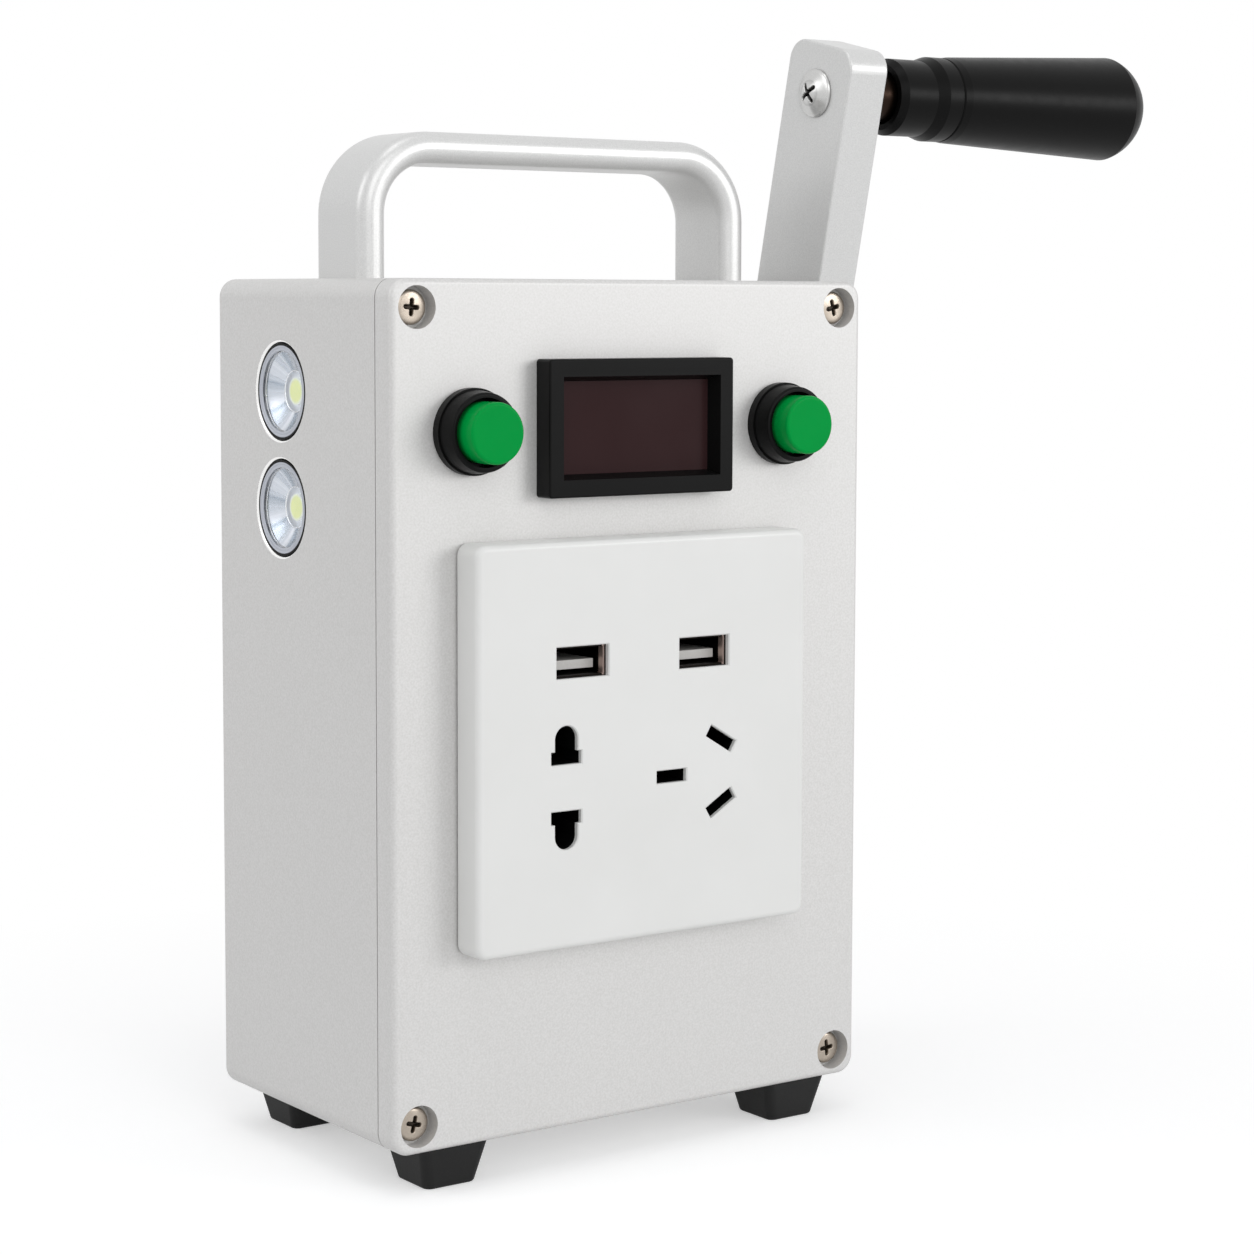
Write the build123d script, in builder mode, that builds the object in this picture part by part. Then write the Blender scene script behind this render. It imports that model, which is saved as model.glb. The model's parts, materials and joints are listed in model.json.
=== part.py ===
"""Hand crank generator: an aluminium box with a carry handle, a side crank, torches, meter and sockets.

Millimetres, +Z up. The origin is the middle of the footprint, on the surface that the feet stand on.
The front panel faces -Y and the crank is on the +X side.
"""

from build123d import *
from math import acos, cos, pi, radians, sin, sqrt, tan
import os

# ---------------------------------------------------------------- driving dimensions
# Case: a deep rear shell and a shallow front cover, joined at a thin seam with a gasket.
case_width = 123.0
case_height = 181.0
case_depth = 74.0
case_corner_radius = 4.0
case_edge_fillet = 1.2
wall = 2.5
cover_depth = 6.3
cover_plate = 3.0
seam_gap = 0.3

gasket_width = 1.2
gasket_groove = 0.7

post_radius = 4.5
post_length = 22.0
post_inset_x = 6.2
post_inset_z = 5.9
cover_boss_radius = 5.7
cover_screw_radius = 2.0
cover_head_radius = 3.6
cover_head_height = 2.2
cover_head_recess = 1.6
cover_counterbore_radius = 4.45
cover_screw_length = 14.0

# Clearances
thread_clearance = 0.05
press_clearance = 0.02
running_clearance = 0.06
bolt_clearance = 0.2
part_clearance = 0.3

# Screw heads, as shares of their radius and height
recess_span = 1.15
recess_slot = 0.3
recess_share = 0.6

# Feet: tapered rubber blocks, screwed up into the case floor.
foot_height = 9.0
foot_top = 16.6
foot_bottom = 12.5
foot_corner_radius = 2.0
foot_edge_fillet = 0.8
foot_spacing_x = 91.4
foot_spacing_y = 56.0
foot_screw_radius = 1.5
foot_head_radius = 2.75
foot_head_height = 1.8
foot_pocket_radius = 3.2
foot_pocket_depth = 4.5
foot_screw_reach = 1.5

# Carry handle: a bent flat bar with rounded edges.
handle_spacing = 95.8
handle_rise = 31.5
handle_thickness = 6.8
handle_width = 20.5
handle_edge_radius = 3.0
handle_bend_radius = 14.5
handle_y = 2.0
handle_screw_radius = 2.0
handle_head_radius = 3.8
handle_head_height = 2.6
handle_screw_length = 14.0

# Torches: two round lamps in the left wall.
torch_y = 9.0
torch_height = 144.4
torch_spacing = 25.0
torch_hole_radius = 10.4
torch_hole_chamfer = 0.6
torch_inset = 0.3
torch_bore_radius = 9.9
torch_flange_radius = 12.0
torch_flange_thickness = 2.0
torch_cup_radius = 11.4
torch_cup_depth = 9.0
torch_back_thickness = 1.5
torch_lens_inset = 0.7
torch_lens_thickness = 1.1
torch_reflector_depth = 2.8
torch_reflector_wall = 0.6
torch_throat_radius = 4.3
torch_reflector_bend = 0.53
torch_board_thickness = 1.5
torch_emitter_radius = 3.0
torch_emitter_height = 1.5

# Push buttons, either side of the meter.
panel_middle_x = -2.0
button_spacing = 81.2
button_height = 149.6
button_flange_radius = 9.05
button_flange_thickness = 2.0
button_collar_base_radius = 8.7
button_collar_top_radius = 8.25
button_collar_height = 6.3
button_collar_fillet = 0.6
button_floor_height = 1.8
button_cap_radius = 6.4
collar_bore_radius = 7.2
button_cap_top = 10.7
button_cap_fillet = 0.7
button_cap_wall = 1.7
button_travel = 2.0
button_end_gap = 0.1
button_stem_radius = 1.5
button_stem_length = 19.0
button_thread_radius = 6.0
button_thread_length = 16.0
button_pocket_depth = 9.0
button_pocket_radius = 4.4
button_spring_radius = 3.9
button_spring_wire = 0.6
button_nut_across = 14.0
button_nut_height = 2.5
button_stem_bore_radius = 1.8
button_terminal_width = 2.4
button_terminal_thickness = 0.8
button_terminal_length = 4.0
button_terminal_spacing = 5.0

# Panel meter.
meter_x = -2.2
meter_height = 149.9
meter_width = 48.0
meter_tall = 29.0
meter_proud = 5.0
meter_edge_fillet = 0.8
meter_body_width = 44.6
meter_body_tall = 25.8
meter_body_depth = 19.0
meter_wall = 1.5
meter_opening_width = 41.0
meter_opening_tall = 21.6
meter_window_width = 39.0
meter_window_tall = 19.6
meter_window_recess = 3.4
meter_window_thickness = 1.2
meter_board_thickness = 1.6
meter_digits_width = 36.0
meter_digits_tall = 16.0

# Socket plate: square plate on a frame, with a hollow body behind the panel.
socket_x = -3.1
socket_height = 83.7
socket_size = 86.0
socket_proud = 8.0
socket_corner_radius = 2.5
socket_edge_fillet = 1.3
socket_face = 1.2
socket_frame_wall = 5.8
socket_opening_chamfer = 0.25
socket_rim = 2.0
socket_shadow_gap = 0.5
socket_body = 53.4
socket_back_clearance = 1.0
socket_body_wall = 1.2
socket_back_thickness = 1.8
socket_screw_spacing = 60.3
socket_screw_radius = 1.6
socket_head_radius = 3.0
socket_head_height = 2.0
socket_head_inset = 0.5
socket_screw_length = 9.0
keyhole_x = -20.8
socket_row_z = -8.8
keyhole_inner = 4.9
keyhole_foot_width = 7.6
keyhole_foot_height = 2.8
keyhole_radius = 2.85
keyhole_length = 8.2
slot_length = 7.8
slot_width = 2.8
ground_slot_x = 6.5
live_slot_x = 19.8
live_slot_offset = 7.05
live_slot_angle = 31.0
contact_wall = 0.7
contact_depth = 11.0
usb_middle_x = -0.8
usb_spacing = 31.8
usb_row_z = 17.5
usb_width = 13.2
usb_tall = 6.7
usb_shell_wall = 0.4
usb_shell_recess = 1.6
usb_shell_length = 16.0
usb_tongue_width = 11.0
usb_tongue_thickness = 1.9
usb_tongue_recess = 4.4
usb_tongue_drop = 0.95
usb_board_tall = 12.0
usb_board_thickness = 1.6

# Crank: arm on the shaft, with a turning grip at the far end.
crank_y = 9.0
crank_height = 126.3
crank_throw = 100.8
crank_lean = 13.0
arm_gap = 5.5
arm_thickness = 11.0
arm_width = 23.0
arm_corner_radius = 5.0
arm_edge_fillet = 0.5
shaft_radius = 5.0
shaft_inner_radius = 4.0
shaft_flat = 3.0
shaft_tail = 3.0
shaft_end_gap = 0.5
bush_wall = 3.0
bush_flange = 1.0
bush_flange_rim = 2.0
inner_bush_wall = 2.0
spacer_radius = 9.0
spacer_end_gap = 0.2
crank_screw_radius = 2.5
crank_screw_length = 12.0
crank_head_radius = 4.75
crank_head_height = 2.8
crank_washer_radius = 8.0
crank_washer_thickness = 1.2

grip_screw_radius = 3.0
grip_screw_head_radius = 5.6
grip_screw_head_height = 2.8
grip_screw_reach = 8.0
spindle_radius = 4.0
spindle_collar_radius = 5.9
spindle_collar_length = 10.0
grip_start = 8.5
grip_length = 81.5
grip_mouth_radius = 6.5
grip_mouth_depth = 9.5
grip_rim_radius = 7.8
grip_rim_length = 1.6
grip_neck_radius = 9.0
grip_neck_length = 10.5
grip_step_length = 3.0
grip_band_radius = 9.95
grip_band_length = 4.2
grip_groove = 0.35
grip_shoulder_length = 2.0
grip_body_radius = 10.2
grip_end_radius = 12.65
grip_dome_length = 9.5
grip_tail_wall = 2.5
spindle_cap_radius = 3.2
spindle_cap_height = 3.1
spindle_cap_seat = 2.0
spindle_cap_shank_radius = 2.0
spindle_cap_shank_length = 12.0

# Gear train between two plates inside the right wall.
gear_module = 1.0
pressure_angle = 25.0
tooth_trim = 0.10
tooth_clearance = 0.2
crank_gear_teeth = 44
idler_pinion_teeth = 12
idler_wheel_teeth = 40
rotor_pinion_teeth = 12
idler_direction = -98.2
rotor_direction = -72.1
crank_gear_width = 8.0
idler_pinion_width = 10.0
idler_wheel_width = 7.0
rotor_pinion_width = 9.0
gear_hub_radius = 8.0
gear_hub_length = 3.0
idler_hub_radius = 4.7
idler_axle_radius = 3.0
plate_thickness = 3.0
plate_gap = 26.0
plate_width = 50.5
plate_height = 105.0
plate_middle_y = 8.25
plate_middle_z = 105.5
plate_corner_radius = 4.0
standoff_across = 7.0
standoff_places = ((-15.25, 46.5), (19.75, 45.5), (-20.25, -47.5), (21.25, -47.5))
gear_screw_radius = 2.0
gear_head_radius = 3.6
gear_head_height = 2.2
gear_screw_reach = 8.0

# Generator, bolted to the inner gear plate.
generator_radius = 18.0
generator_length = 48.0
generator_wall = 1.2
generator_face = 2.0
generator_cap_thickness = 3.0
generator_nose_radius = 5.0
generator_nose_length = 2.5
rotor_shaft_radius = 2.5
rotor_core_radius = 11.0
rotor_core_length = 30.0
rotor_slots = 6
rotor_slot_width = 3.0
rotor_slot_depth = 5.0
rotor_shaft_tail = 2.0
magnet_thickness = 4.0
magnet_length = 34.0
magnet_gap_width = 8.0
generator_screw_radius = 1.5
generator_screw_offset = 12.0
generator_head_radius = 2.75
generator_head_height = 1.8
generator_tab_length = 3.0
generator_tab_width = 3.0
generator_tab_offset = 8.0

# Battery pack on the floor.
cell_radius = 9.1
cell_length = 65.2
cell_spacing = 20.0
cell_count = 3
cell_button_radius = 2.8
cell_button_height = 0.9
tray_base = 1.6
tray_wall = 1.6
tray_side_height = 9.0
tray_end_height = 15.0
contact_thickness = 1.0

# Circuit boards on spacers from the rear wall.
board_thickness = 1.6
board_standoff_radius = 3.0
board_standoff_length = 5.9
board_hole_inset = 3.5
board_side_clearance = 3.0
inverter_tall = 88.0
inverter_z = 84.0
charger_tall = 38.0
charger_z = 159.0
transformer_inset = 3.0
transformer_tall = 28.0
transformer_depth = 20.0
transformer_lift = -24.0
capacitor_share = 0.14
capacitor_length = 18.0
capacitor_lift = 2.0
sink_inset = 2.0
sink_tall = 14.0
sink_depth = 14.0
sink_fins = 6
sink_lift = 22.0
coil_radius = 7.0
coil_height = 8.0
chip_size = 10.0
chip_height = 2.0
header_width = 8.0
header_tall = 5.0
header_depth = 6.0
header_pitch = 11.2
header_count = 4

# ---------------------------------------------------------------- derived places
front_y = -case_depth / 2
rear_y = case_depth / 2
side_x = case_width / 2
case_bottom = foot_height
case_top = case_bottom + case_height
case_middle = case_bottom + case_height / 2
cover_back_y = front_y + cover_depth - seam_gap / 2
housing_front_y = cover_back_y + seam_gap
inner_side_x = side_x - wall
inner_rear_y = rear_y - wall
inner_floor = case_bottom + wall
inner_roof = case_top - wall

post_x = side_x - post_inset_x
post_z = case_height / 2 - post_inset_z
corner_points = [
    (side * post_x, case_middle + level * post_z) for side in (-1, 1) for level in (-1, 1)
]
foot_points = [
    (side * foot_spacing_x / 2, end * foot_spacing_y / 2) for side in (-1, 1) for end in (-1, 1)
]
handle_points = [(side * handle_spacing / 2, handle_y) for side in (-1, 1)]
torch_back_x = torch_cup_depth - side_x
torch_points = [
    (torch_y, case_bottom + torch_height + level * torch_spacing / 2) for level in (-1, 1)
]

button_z = case_bottom + button_height
button_left_x = panel_middle_x - button_spacing / 2
button_right_x = panel_middle_x + button_spacing / 2
meter_z = case_bottom + meter_height
socket_z = case_bottom + socket_height
socket_screws_x = [socket_x + side * socket_screw_spacing / 2 for side in (-1, 1)]

crank_z = case_bottom + crank_height
arm_inner_x = side_x + arm_gap
arm_outer_x = arm_inner_x + arm_thickness
spindle_y = crank_y - crank_throw * sin(radians(crank_lean))
spindle_z = crank_z + crank_throw * cos(radians(crank_lean))

outer_plate_x = inner_side_x - plate_thickness
inner_plate_x = outer_plate_x - plate_gap - plate_thickness
plate_z = case_bottom + plate_middle_z
socket_body_depth = plate_middle_y - plate_width / 2 - socket_back_clearance - front_y
gap_start_x = inner_plate_x + plate_thickness
standoff_points = [(plate_middle_y + dy, plate_z + dz) for dy, dz in standoff_places]

stage_one = gear_module * (crank_gear_teeth + idler_pinion_teeth) / 2
stage_two = gear_module * (idler_wheel_teeth + rotor_pinion_teeth) / 2
idler_y = crank_y + stage_one * cos(radians(idler_direction))
idler_z = crank_z + stage_one * sin(radians(idler_direction))
rotor_y = idler_y + stage_two * cos(radians(rotor_direction))
rotor_z = idler_z + stage_two * sin(radians(rotor_direction))

os.makedirs("parts", exist_ok=True)


# ---------------------------------------------------------------- helpers
def write(piece, name):
    """Label a finished piece and write its file."""
    piece.part.label = name
    export_step(piece.part, f"parts/{name}.step")


def facing_front(x, y, z):
    """Plane square to Y at a point: local x is +X, local y is +Z, its normal is -Y."""
    return Plane(origin=(x, y, z), x_dir=(1, 0, 0), z_dir=(0, -1, 0))


def facing_right(x, y, z):
    """Plane square to X at a point: local x is +Y, local y is +Z, its normal is +X."""
    return Plane(origin=(x, y, z), x_dir=(0, 1, 0), z_dir=(1, 0, 0))


def facing_left(x, y, z):
    """Plane square to X at a point: local x is -Y, local y is +Z, its normal is -X."""
    return Plane(origin=(x, y, z), x_dir=(0, -1, 0), z_dir=(-1, 0, 0))


def facing_up(x, y, z):
    """Plane square to Z at a point, its normal is +Z."""
    return Plane(origin=(x, y, z), x_dir=(1, 0, 0), z_dir=(0, 0, 1))


def facing_down(x, y, z):
    """Plane square to Z at a point, its normal is -Z."""
    return Plane(origin=(x, y, z), x_dir=(1, 0, 0), z_dir=(0, 0, -1))


def axial(plane):
    """Plane through a plane's axis: local x is radial, local y runs along its normal."""
    return Plane(origin=plane.origin, x_dir=plane.x_dir, z_dir=plane.x_dir.cross(plane.z_dir))


def dome_height(base_radius, height, at):
    """Height of a spherical dome above its base, at a distance from its axis."""
    sphere = (base_radius**2 + height**2) / (2 * height)
    return sqrt(sphere**2 - at**2) - (sphere - height)


def screws(planes, head_radius, head_height, shank_radius, shank_length):
    """Cross-head screws whose heads sit on the planes and whose shanks run against the normals."""
    recess_length = recess_span * head_radius
    recess_width = recess_slot * head_radius
    recess_depth = recess_share * head_height
    rim_height = recess_share * head_height
    crown = head_height - rim_height
    with BuildPart() as made:
        for plane in planes:
            with BuildSketch(axial(plane)):
                with BuildLine():
                    Polyline(
                        (0, head_height),
                        (0, -shank_length),
                        (shank_radius, -shank_length),
                        (shank_radius, 0),
                        (head_radius, 0),
                        (head_radius, rim_height),
                    )
                    ThreePointArc(
                        (head_radius, rim_height),
                        (
                            head_radius / 2,
                            rim_height + dome_height(head_radius, crown, head_radius / 2),
                        ),
                        (0, head_height),
                    )
                make_face()
            revolve(axis=Axis(plane.origin, plane.z_dir))
            with BuildSketch(plane.offset(head_height - recess_depth)):
                Rectangle(recess_length, recess_width)
                Rectangle(recess_width, recess_length)
            extrude(amount=recess_depth + part_clearance, mode=Mode.SUBTRACT)
    return made


def rings(planes, outer_radius, inner_radius, height):
    """Plain rings, washers or bushes standing on the planes."""
    with BuildPart() as made:
        for plane in planes:
            with BuildSketch(plane):
                Circle(outer_radius)
                Circle(inner_radius, mode=Mode.SUBTRACT)
            extrude(amount=height)
    return made


def gear(plane, teeth, width, bore_radius, phase, hub_radius=0.0, hub_length=0.0):
    """Spur gear with involute flanks; one tooth points along the phase angle, in degrees."""
    pitch_radius = gear_module * teeth / 2
    base_radius = pitch_radius * cos(radians(pressure_angle))
    tip_radius = pitch_radius + gear_module
    root_radius = pitch_radius - gear_module - tooth_clearance
    half_thickness = pi / (2 * teeth) - tooth_trim / pitch_radius
    pitch_involute = tan(radians(pressure_angle)) - radians(pressure_angle)
    flank_start = max(base_radius, root_radius)
    flank_middle = (flank_start + tip_radius) / 2

    def flank_angle(radius):
        roll = acos(min(1.0, base_radius / radius))
        return half_thickness + pitch_involute - (tan(roll) - roll)

    def point(radius, angle):
        return (radius * cos(angle), radius * sin(angle))

    with BuildPart() as made:
        with BuildSketch(plane):
            with BuildLine():
                for index in range(teeth):
                    middle = radians(phase) + 2 * pi * index / teeth
                    rise = middle - flank_angle(flank_start)
                    fall = middle + flank_angle(flank_start)
                    rise_middle = middle - flank_angle(flank_middle)
                    fall_middle = middle + flank_angle(flank_middle)
                    rise_tip = middle - flank_angle(tip_radius)
                    fall_tip = middle + flank_angle(tip_radius)
                    next_rise = rise + 2 * pi / teeth
                    if root_radius < flank_start:
                        Line(point(root_radius, rise), point(flank_start, rise))
                        Line(point(flank_start, fall), point(root_radius, fall))
                    ThreePointArc(
                        point(flank_start, rise),
                        point(flank_middle, rise_middle),
                        point(tip_radius, rise_tip),
                    )
                    ThreePointArc(
                        point(tip_radius, rise_tip),
                        point(tip_radius, middle),
                        point(tip_radius, fall_tip),
                    )
                    ThreePointArc(
                        point(tip_radius, fall_tip),
                        point(flank_middle, fall_middle),
                        point(flank_start, fall),
                    )
                    valley = min(root_radius, flank_start)
                    ThreePointArc(
                        point(valley, fall),
                        point(root_radius, (fall + next_rise) / 2),
                        point(valley, next_rise),
                    )
            make_face()
        extrude(amount=width)
        if hub_length:
            with BuildSketch(plane):
                Circle(hub_radius)
            extrude(amount=-hub_length)
        with BuildSketch(plane.offset(-hub_length)):
            Circle(bore_radius)
        extrude(amount=hub_length + width, mode=Mode.SUBTRACT)
    return made


# ---------------------------------------------------------------- case
# Deep rear shell with corner posts, open at the front.
with BuildPart() as housing:
    with BuildSketch(facing_front(0, rear_y, case_middle)):
        RectangleRounded(case_width, case_height, case_corner_radius)
    extrude(amount=rear_y - housing_front_y)
    fillet(housing.faces().sort_by(Axis.Y)[-1].edges(), radius=case_edge_fillet)
    with BuildSketch(facing_front(0, inner_rear_y, case_middle)):
        RectangleRounded(case_width - 2 * wall, case_height - 2 * wall, case_corner_radius - wall)
    extrude(amount=inner_rear_y - housing_front_y, mode=Mode.SUBTRACT)
    with BuildSketch(facing_front(0, housing_front_y, 0)):
        with Locations(*corner_points):
            Circle(post_radius)
    extrude(amount=-post_length)
    # tapped holes for the cover screws
    with BuildSketch(facing_front(0, housing_front_y, 0)):
        with Locations(*corner_points):
            Circle(cover_screw_radius + thread_clearance)
    extrude(amount=-cover_screw_length, mode=Mode.SUBTRACT)
    # groove for the gasket, in the middle of the rim
    with BuildSketch(facing_front(0, housing_front_y, case_middle)):
        RectangleRounded(
            case_width - wall + gasket_width,
            case_height - wall + gasket_width,
            case_corner_radius - wall / 2 + gasket_width / 2,
        )
        RectangleRounded(
            case_width - wall - gasket_width,
            case_height - wall - gasket_width,
            case_corner_radius - wall / 2 - gasket_width / 2,
            mode=Mode.SUBTRACT,
        )
    extrude(amount=-gasket_groove, mode=Mode.SUBTRACT)
    # right wall: crank bush and gearbox screws
    with BuildSketch(facing_right(inner_side_x, 0, 0)):
        with Locations((crank_y, crank_z)):
            Circle(shaft_radius + bush_wall + press_clearance)
        with Locations(*standoff_points):
            Circle(gear_screw_radius + bolt_clearance)
    extrude(amount=wall, mode=Mode.SUBTRACT)
    # left wall: torch holes with a chamfered mouth
    with BuildSketch(facing_left(-inner_side_x, 0, 0)):
        with Locations(*[(-y, z) for y, z in torch_points]):
            Circle(torch_hole_radius)
    extrude(amount=wall, mode=Mode.SUBTRACT)
    chamfer(
        housing.faces().sort_by(Axis.X)[0].inner_wires().edges(),
        length=torch_hole_chamfer,
    )
    # roof: handle screws; floor: foot screws
    with BuildSketch(facing_up(0, 0, inner_roof)):
        with Locations(*handle_points):
            Circle(handle_screw_radius + bolt_clearance)
    extrude(amount=wall, mode=Mode.SUBTRACT)
    with BuildSketch(facing_up(0, 0, case_bottom)):
        with Locations(*foot_points):
            Circle(foot_screw_radius + thread_clearance)
    extrude(amount=wall, mode=Mode.SUBTRACT)
write(housing, "housing")

# Shallow front cover with a skirt and four screw bosses.
with BuildPart() as front_cover:
    with BuildSketch(facing_front(0, cover_back_y, case_middle)):
        RectangleRounded(case_width, case_height, case_corner_radius)
    extrude(amount=cover_back_y - front_y)
    fillet(front_cover.faces().sort_by(Axis.Y)[0].edges(), radius=case_edge_fillet)
    with BuildSketch(facing_front(0, cover_back_y, case_middle)):
        RectangleRounded(case_width - 2 * wall, case_height - 2 * wall, case_corner_radius - wall)
    extrude(amount=cover_back_y - front_y - cover_plate, mode=Mode.SUBTRACT)
    with BuildSketch(facing_front(0, cover_back_y, 0)):
        with Locations(*corner_points):
            Circle(cover_boss_radius)
    extrude(amount=cover_back_y - front_y - cover_plate)
    with Locations(*[facing_front(x, front_y, z) for x, z in corner_points]):
        CounterBoreHole(
            cover_screw_radius + bolt_clearance,
            cover_counterbore_radius,
            cover_head_recess + cover_head_height,
            depth=cover_depth,
        )
    with BuildSketch(facing_front(0, front_y, 0)):
        with Locations((button_left_x, button_z), (button_right_x, button_z)):
            Circle(button_thread_radius + bolt_clearance)
        with Locations((meter_x, meter_z)):
            Rectangle(meter_body_width + 2 * bolt_clearance, meter_body_tall + 2 * bolt_clearance)
        with Locations((socket_x, socket_z)):
            Rectangle(socket_body + 2 * part_clearance, socket_body + 2 * part_clearance)
        with Locations(*[(x, socket_z) for x in socket_screws_x]):
            Circle(socket_screw_radius + thread_clearance)
    extrude(amount=-cover_depth, mode=Mode.SUBTRACT)
write(front_cover, "front_cover")

# Rubber cord gasket, proud of its groove by the width of the seam.
with BuildPart() as cover_gasket:
    with BuildSketch(facing_front(0, housing_front_y + gasket_groove, case_middle)):
        RectangleRounded(
            case_width - wall + gasket_width - 2 * press_clearance,
            case_height - wall + gasket_width - 2 * press_clearance,
            case_corner_radius - wall / 2 + gasket_width / 2 - press_clearance,
        )
        RectangleRounded(
            case_width - wall - gasket_width + 2 * press_clearance,
            case_height - wall - gasket_width + 2 * press_clearance,
            case_corner_radius - wall / 2 - gasket_width / 2 + press_clearance,
            mode=Mode.SUBTRACT,
        )
    extrude(amount=gasket_groove + seam_gap)
write(cover_gasket, "cover_gasket")

cover_seat_y = front_y + cover_head_recess + cover_head_height
cover_screws = screws(
    [facing_front(x, cover_seat_y, z) for x, z in corner_points],
    cover_head_radius,
    cover_head_height,
    cover_screw_radius,
    cover_screw_length,
)
write(cover_screws, "cover_screws")

# ---------------------------------------------------------------- feet
with BuildPart() as feet:
    for x, y in foot_points:
        with BuildSketch(facing_up(x, y, 0)):
            RectangleRounded(foot_bottom, foot_bottom, foot_corner_radius)
        with BuildSketch(facing_up(x, y, foot_height)):
            RectangleRounded(foot_top, foot_top, foot_corner_radius)
        loft()
    fillet(feet.faces().filter_by(Axis.Z).group_by(Axis.Z)[0].edges(), radius=foot_edge_fillet)
    with BuildSketch(facing_up(0, 0, 0)):
        with Locations(*foot_points):
            Circle(foot_pocket_radius)
    extrude(amount=foot_pocket_depth, mode=Mode.SUBTRACT)
    with BuildSketch(facing_up(0, 0, 0)):
        with Locations(*foot_points):
            Circle(foot_screw_radius + bolt_clearance)
    extrude(amount=foot_height, mode=Mode.SUBTRACT)
write(feet, "feet")

foot_screws = screws(
    [facing_down(x, y, foot_pocket_depth) for x, y in foot_points],
    foot_head_radius,
    foot_head_height,
    foot_screw_radius,
    foot_height - foot_pocket_depth + wall + foot_screw_reach,
)
write(foot_screws, "foot_screws")

# ---------------------------------------------------------------- carry handle
handle_middle_z = case_top + handle_rise - handle_thickness / 2
with BuildPart() as carry_handle:
    with BuildLine(Plane.XZ.offset(-handle_y)):
        FilletPolyline(
            (-handle_spacing / 2, case_top),
            (-handle_spacing / 2, handle_middle_z),
            (handle_spacing / 2, handle_middle_z),
            (handle_spacing / 2, case_top),
            radius=handle_bend_radius,
        )
    with BuildSketch(facing_up(-handle_spacing / 2, handle_y, case_top)):
        RectangleRounded(handle_thickness, handle_width, handle_edge_radius)
    sweep()
    with BuildSketch(facing_up(0, 0, case_top)):
        with Locations(*handle_points):
            Circle(handle_screw_radius + thread_clearance)
    extrude(amount=handle_screw_length, mode=Mode.SUBTRACT)
write(carry_handle, "carry_handle")

handle_screws = screws(
    [facing_down(x, y, inner_roof) for x, y in handle_points],
    handle_head_radius,
    handle_head_height,
    handle_screw_radius,
    handle_screw_length,
)
write(handle_screws, "handle_screws")

# ---------------------------------------------------------------- torches
torch_planes = [facing_left(-side_x, y, z) for y, z in torch_points]

# Black holder: a barrel in the wall's hole, a flange behind the wall and a cup behind that.
with BuildPart() as torch_holders:
    for plane in torch_planes:
        with BuildSketch(plane.offset(-torch_inset)):
            Circle(torch_hole_radius - part_clearance / 3)
        extrude(amount=torch_inset - wall)
        with BuildSketch(plane.offset(-wall)):
            Circle(torch_flange_radius)
        extrude(amount=-torch_flange_thickness)
        with BuildSketch(plane.offset(-wall - torch_flange_thickness)):
            Circle(torch_cup_radius)
        extrude(amount=wall + torch_flange_thickness - torch_cup_depth)
        with BuildSketch(plane.offset(-torch_inset)):
            Circle(torch_bore_radius)
        extrude(amount=torch_inset + torch_back_thickness - torch_cup_depth, mode=Mode.SUBTRACT)
write(torch_holders, "torch_holders")

lens_back = torch_lens_inset + torch_lens_thickness
with BuildPart() as torch_lenses:
    for plane in torch_planes:
        with BuildSketch(plane.offset(-torch_lens_inset)):
            Circle(torch_bore_radius - press_clearance)
        extrude(amount=-torch_lens_thickness)
    fillet(torch_lenses.faces().group_by(Axis.X)[0].edges(), radius=torch_lens_thickness / 3)
write(torch_lenses, "torch_lenses")

# Conical cup with an even wall, from the lens down to the throat round the emitter.
with BuildPart() as torch_reflectors:
    for plane in torch_planes:
        mouth_radius = torch_bore_radius - press_clearance
        throat_depth = lens_back + torch_reflector_depth
        bend_drop = torch_reflector_bend * torch_reflector_depth
        bend_radius = (
            torch_throat_radius + torch_reflector_bend * (mouth_radius - torch_throat_radius)
        )
        bend_depth = lens_back + bend_drop
        with BuildSketch(axial(plane)):
            with BuildLine():
                ThreePointArc(
                    (mouth_radius - torch_reflector_wall, -lens_back),
                    (bend_radius, -bend_depth),
                    (torch_throat_radius, -throat_depth),
                )
                Polyline(
                    (torch_throat_radius, -throat_depth),
                    (torch_throat_radius + torch_reflector_wall, -throat_depth),
                )
                ThreePointArc(
                    (torch_throat_radius + torch_reflector_wall, -throat_depth),
                    (bend_radius + torch_reflector_wall, -bend_depth),
                    (mouth_radius, -lens_back),
                )
                Line((mouth_radius, -lens_back), (mouth_radius - torch_reflector_wall, -lens_back))
            make_face()
        revolve(axis=Axis(plane.origin, plane.z_dir))
write(torch_reflectors, "torch_reflectors")

# Round board on the cup's floor, with the emitter standing in the reflector's throat.
torch_board_front = torch_cup_depth - torch_back_thickness - torch_board_thickness
with BuildPart() as torch_leds:
    for plane in torch_planes:
        with BuildSketch(plane.offset(-torch_board_front)):
            Circle(torch_bore_radius - press_clearance)
        extrude(amount=-torch_board_thickness)
        with BuildSketch(plane.offset(-torch_board_front)):
            Circle(torch_emitter_radius)
        extrude(amount=torch_emitter_height)
write(torch_leds, "torch_leds")

# ---------------------------------------------------------------- push buttons
button_planes = [facing_front(x, front_y, button_z) for x in (button_left_x, button_right_x)]
pocket_floor = -button_pocket_depth
rim_inset = button_collar_fillet * (1 - sqrt(1 / 2))

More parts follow.
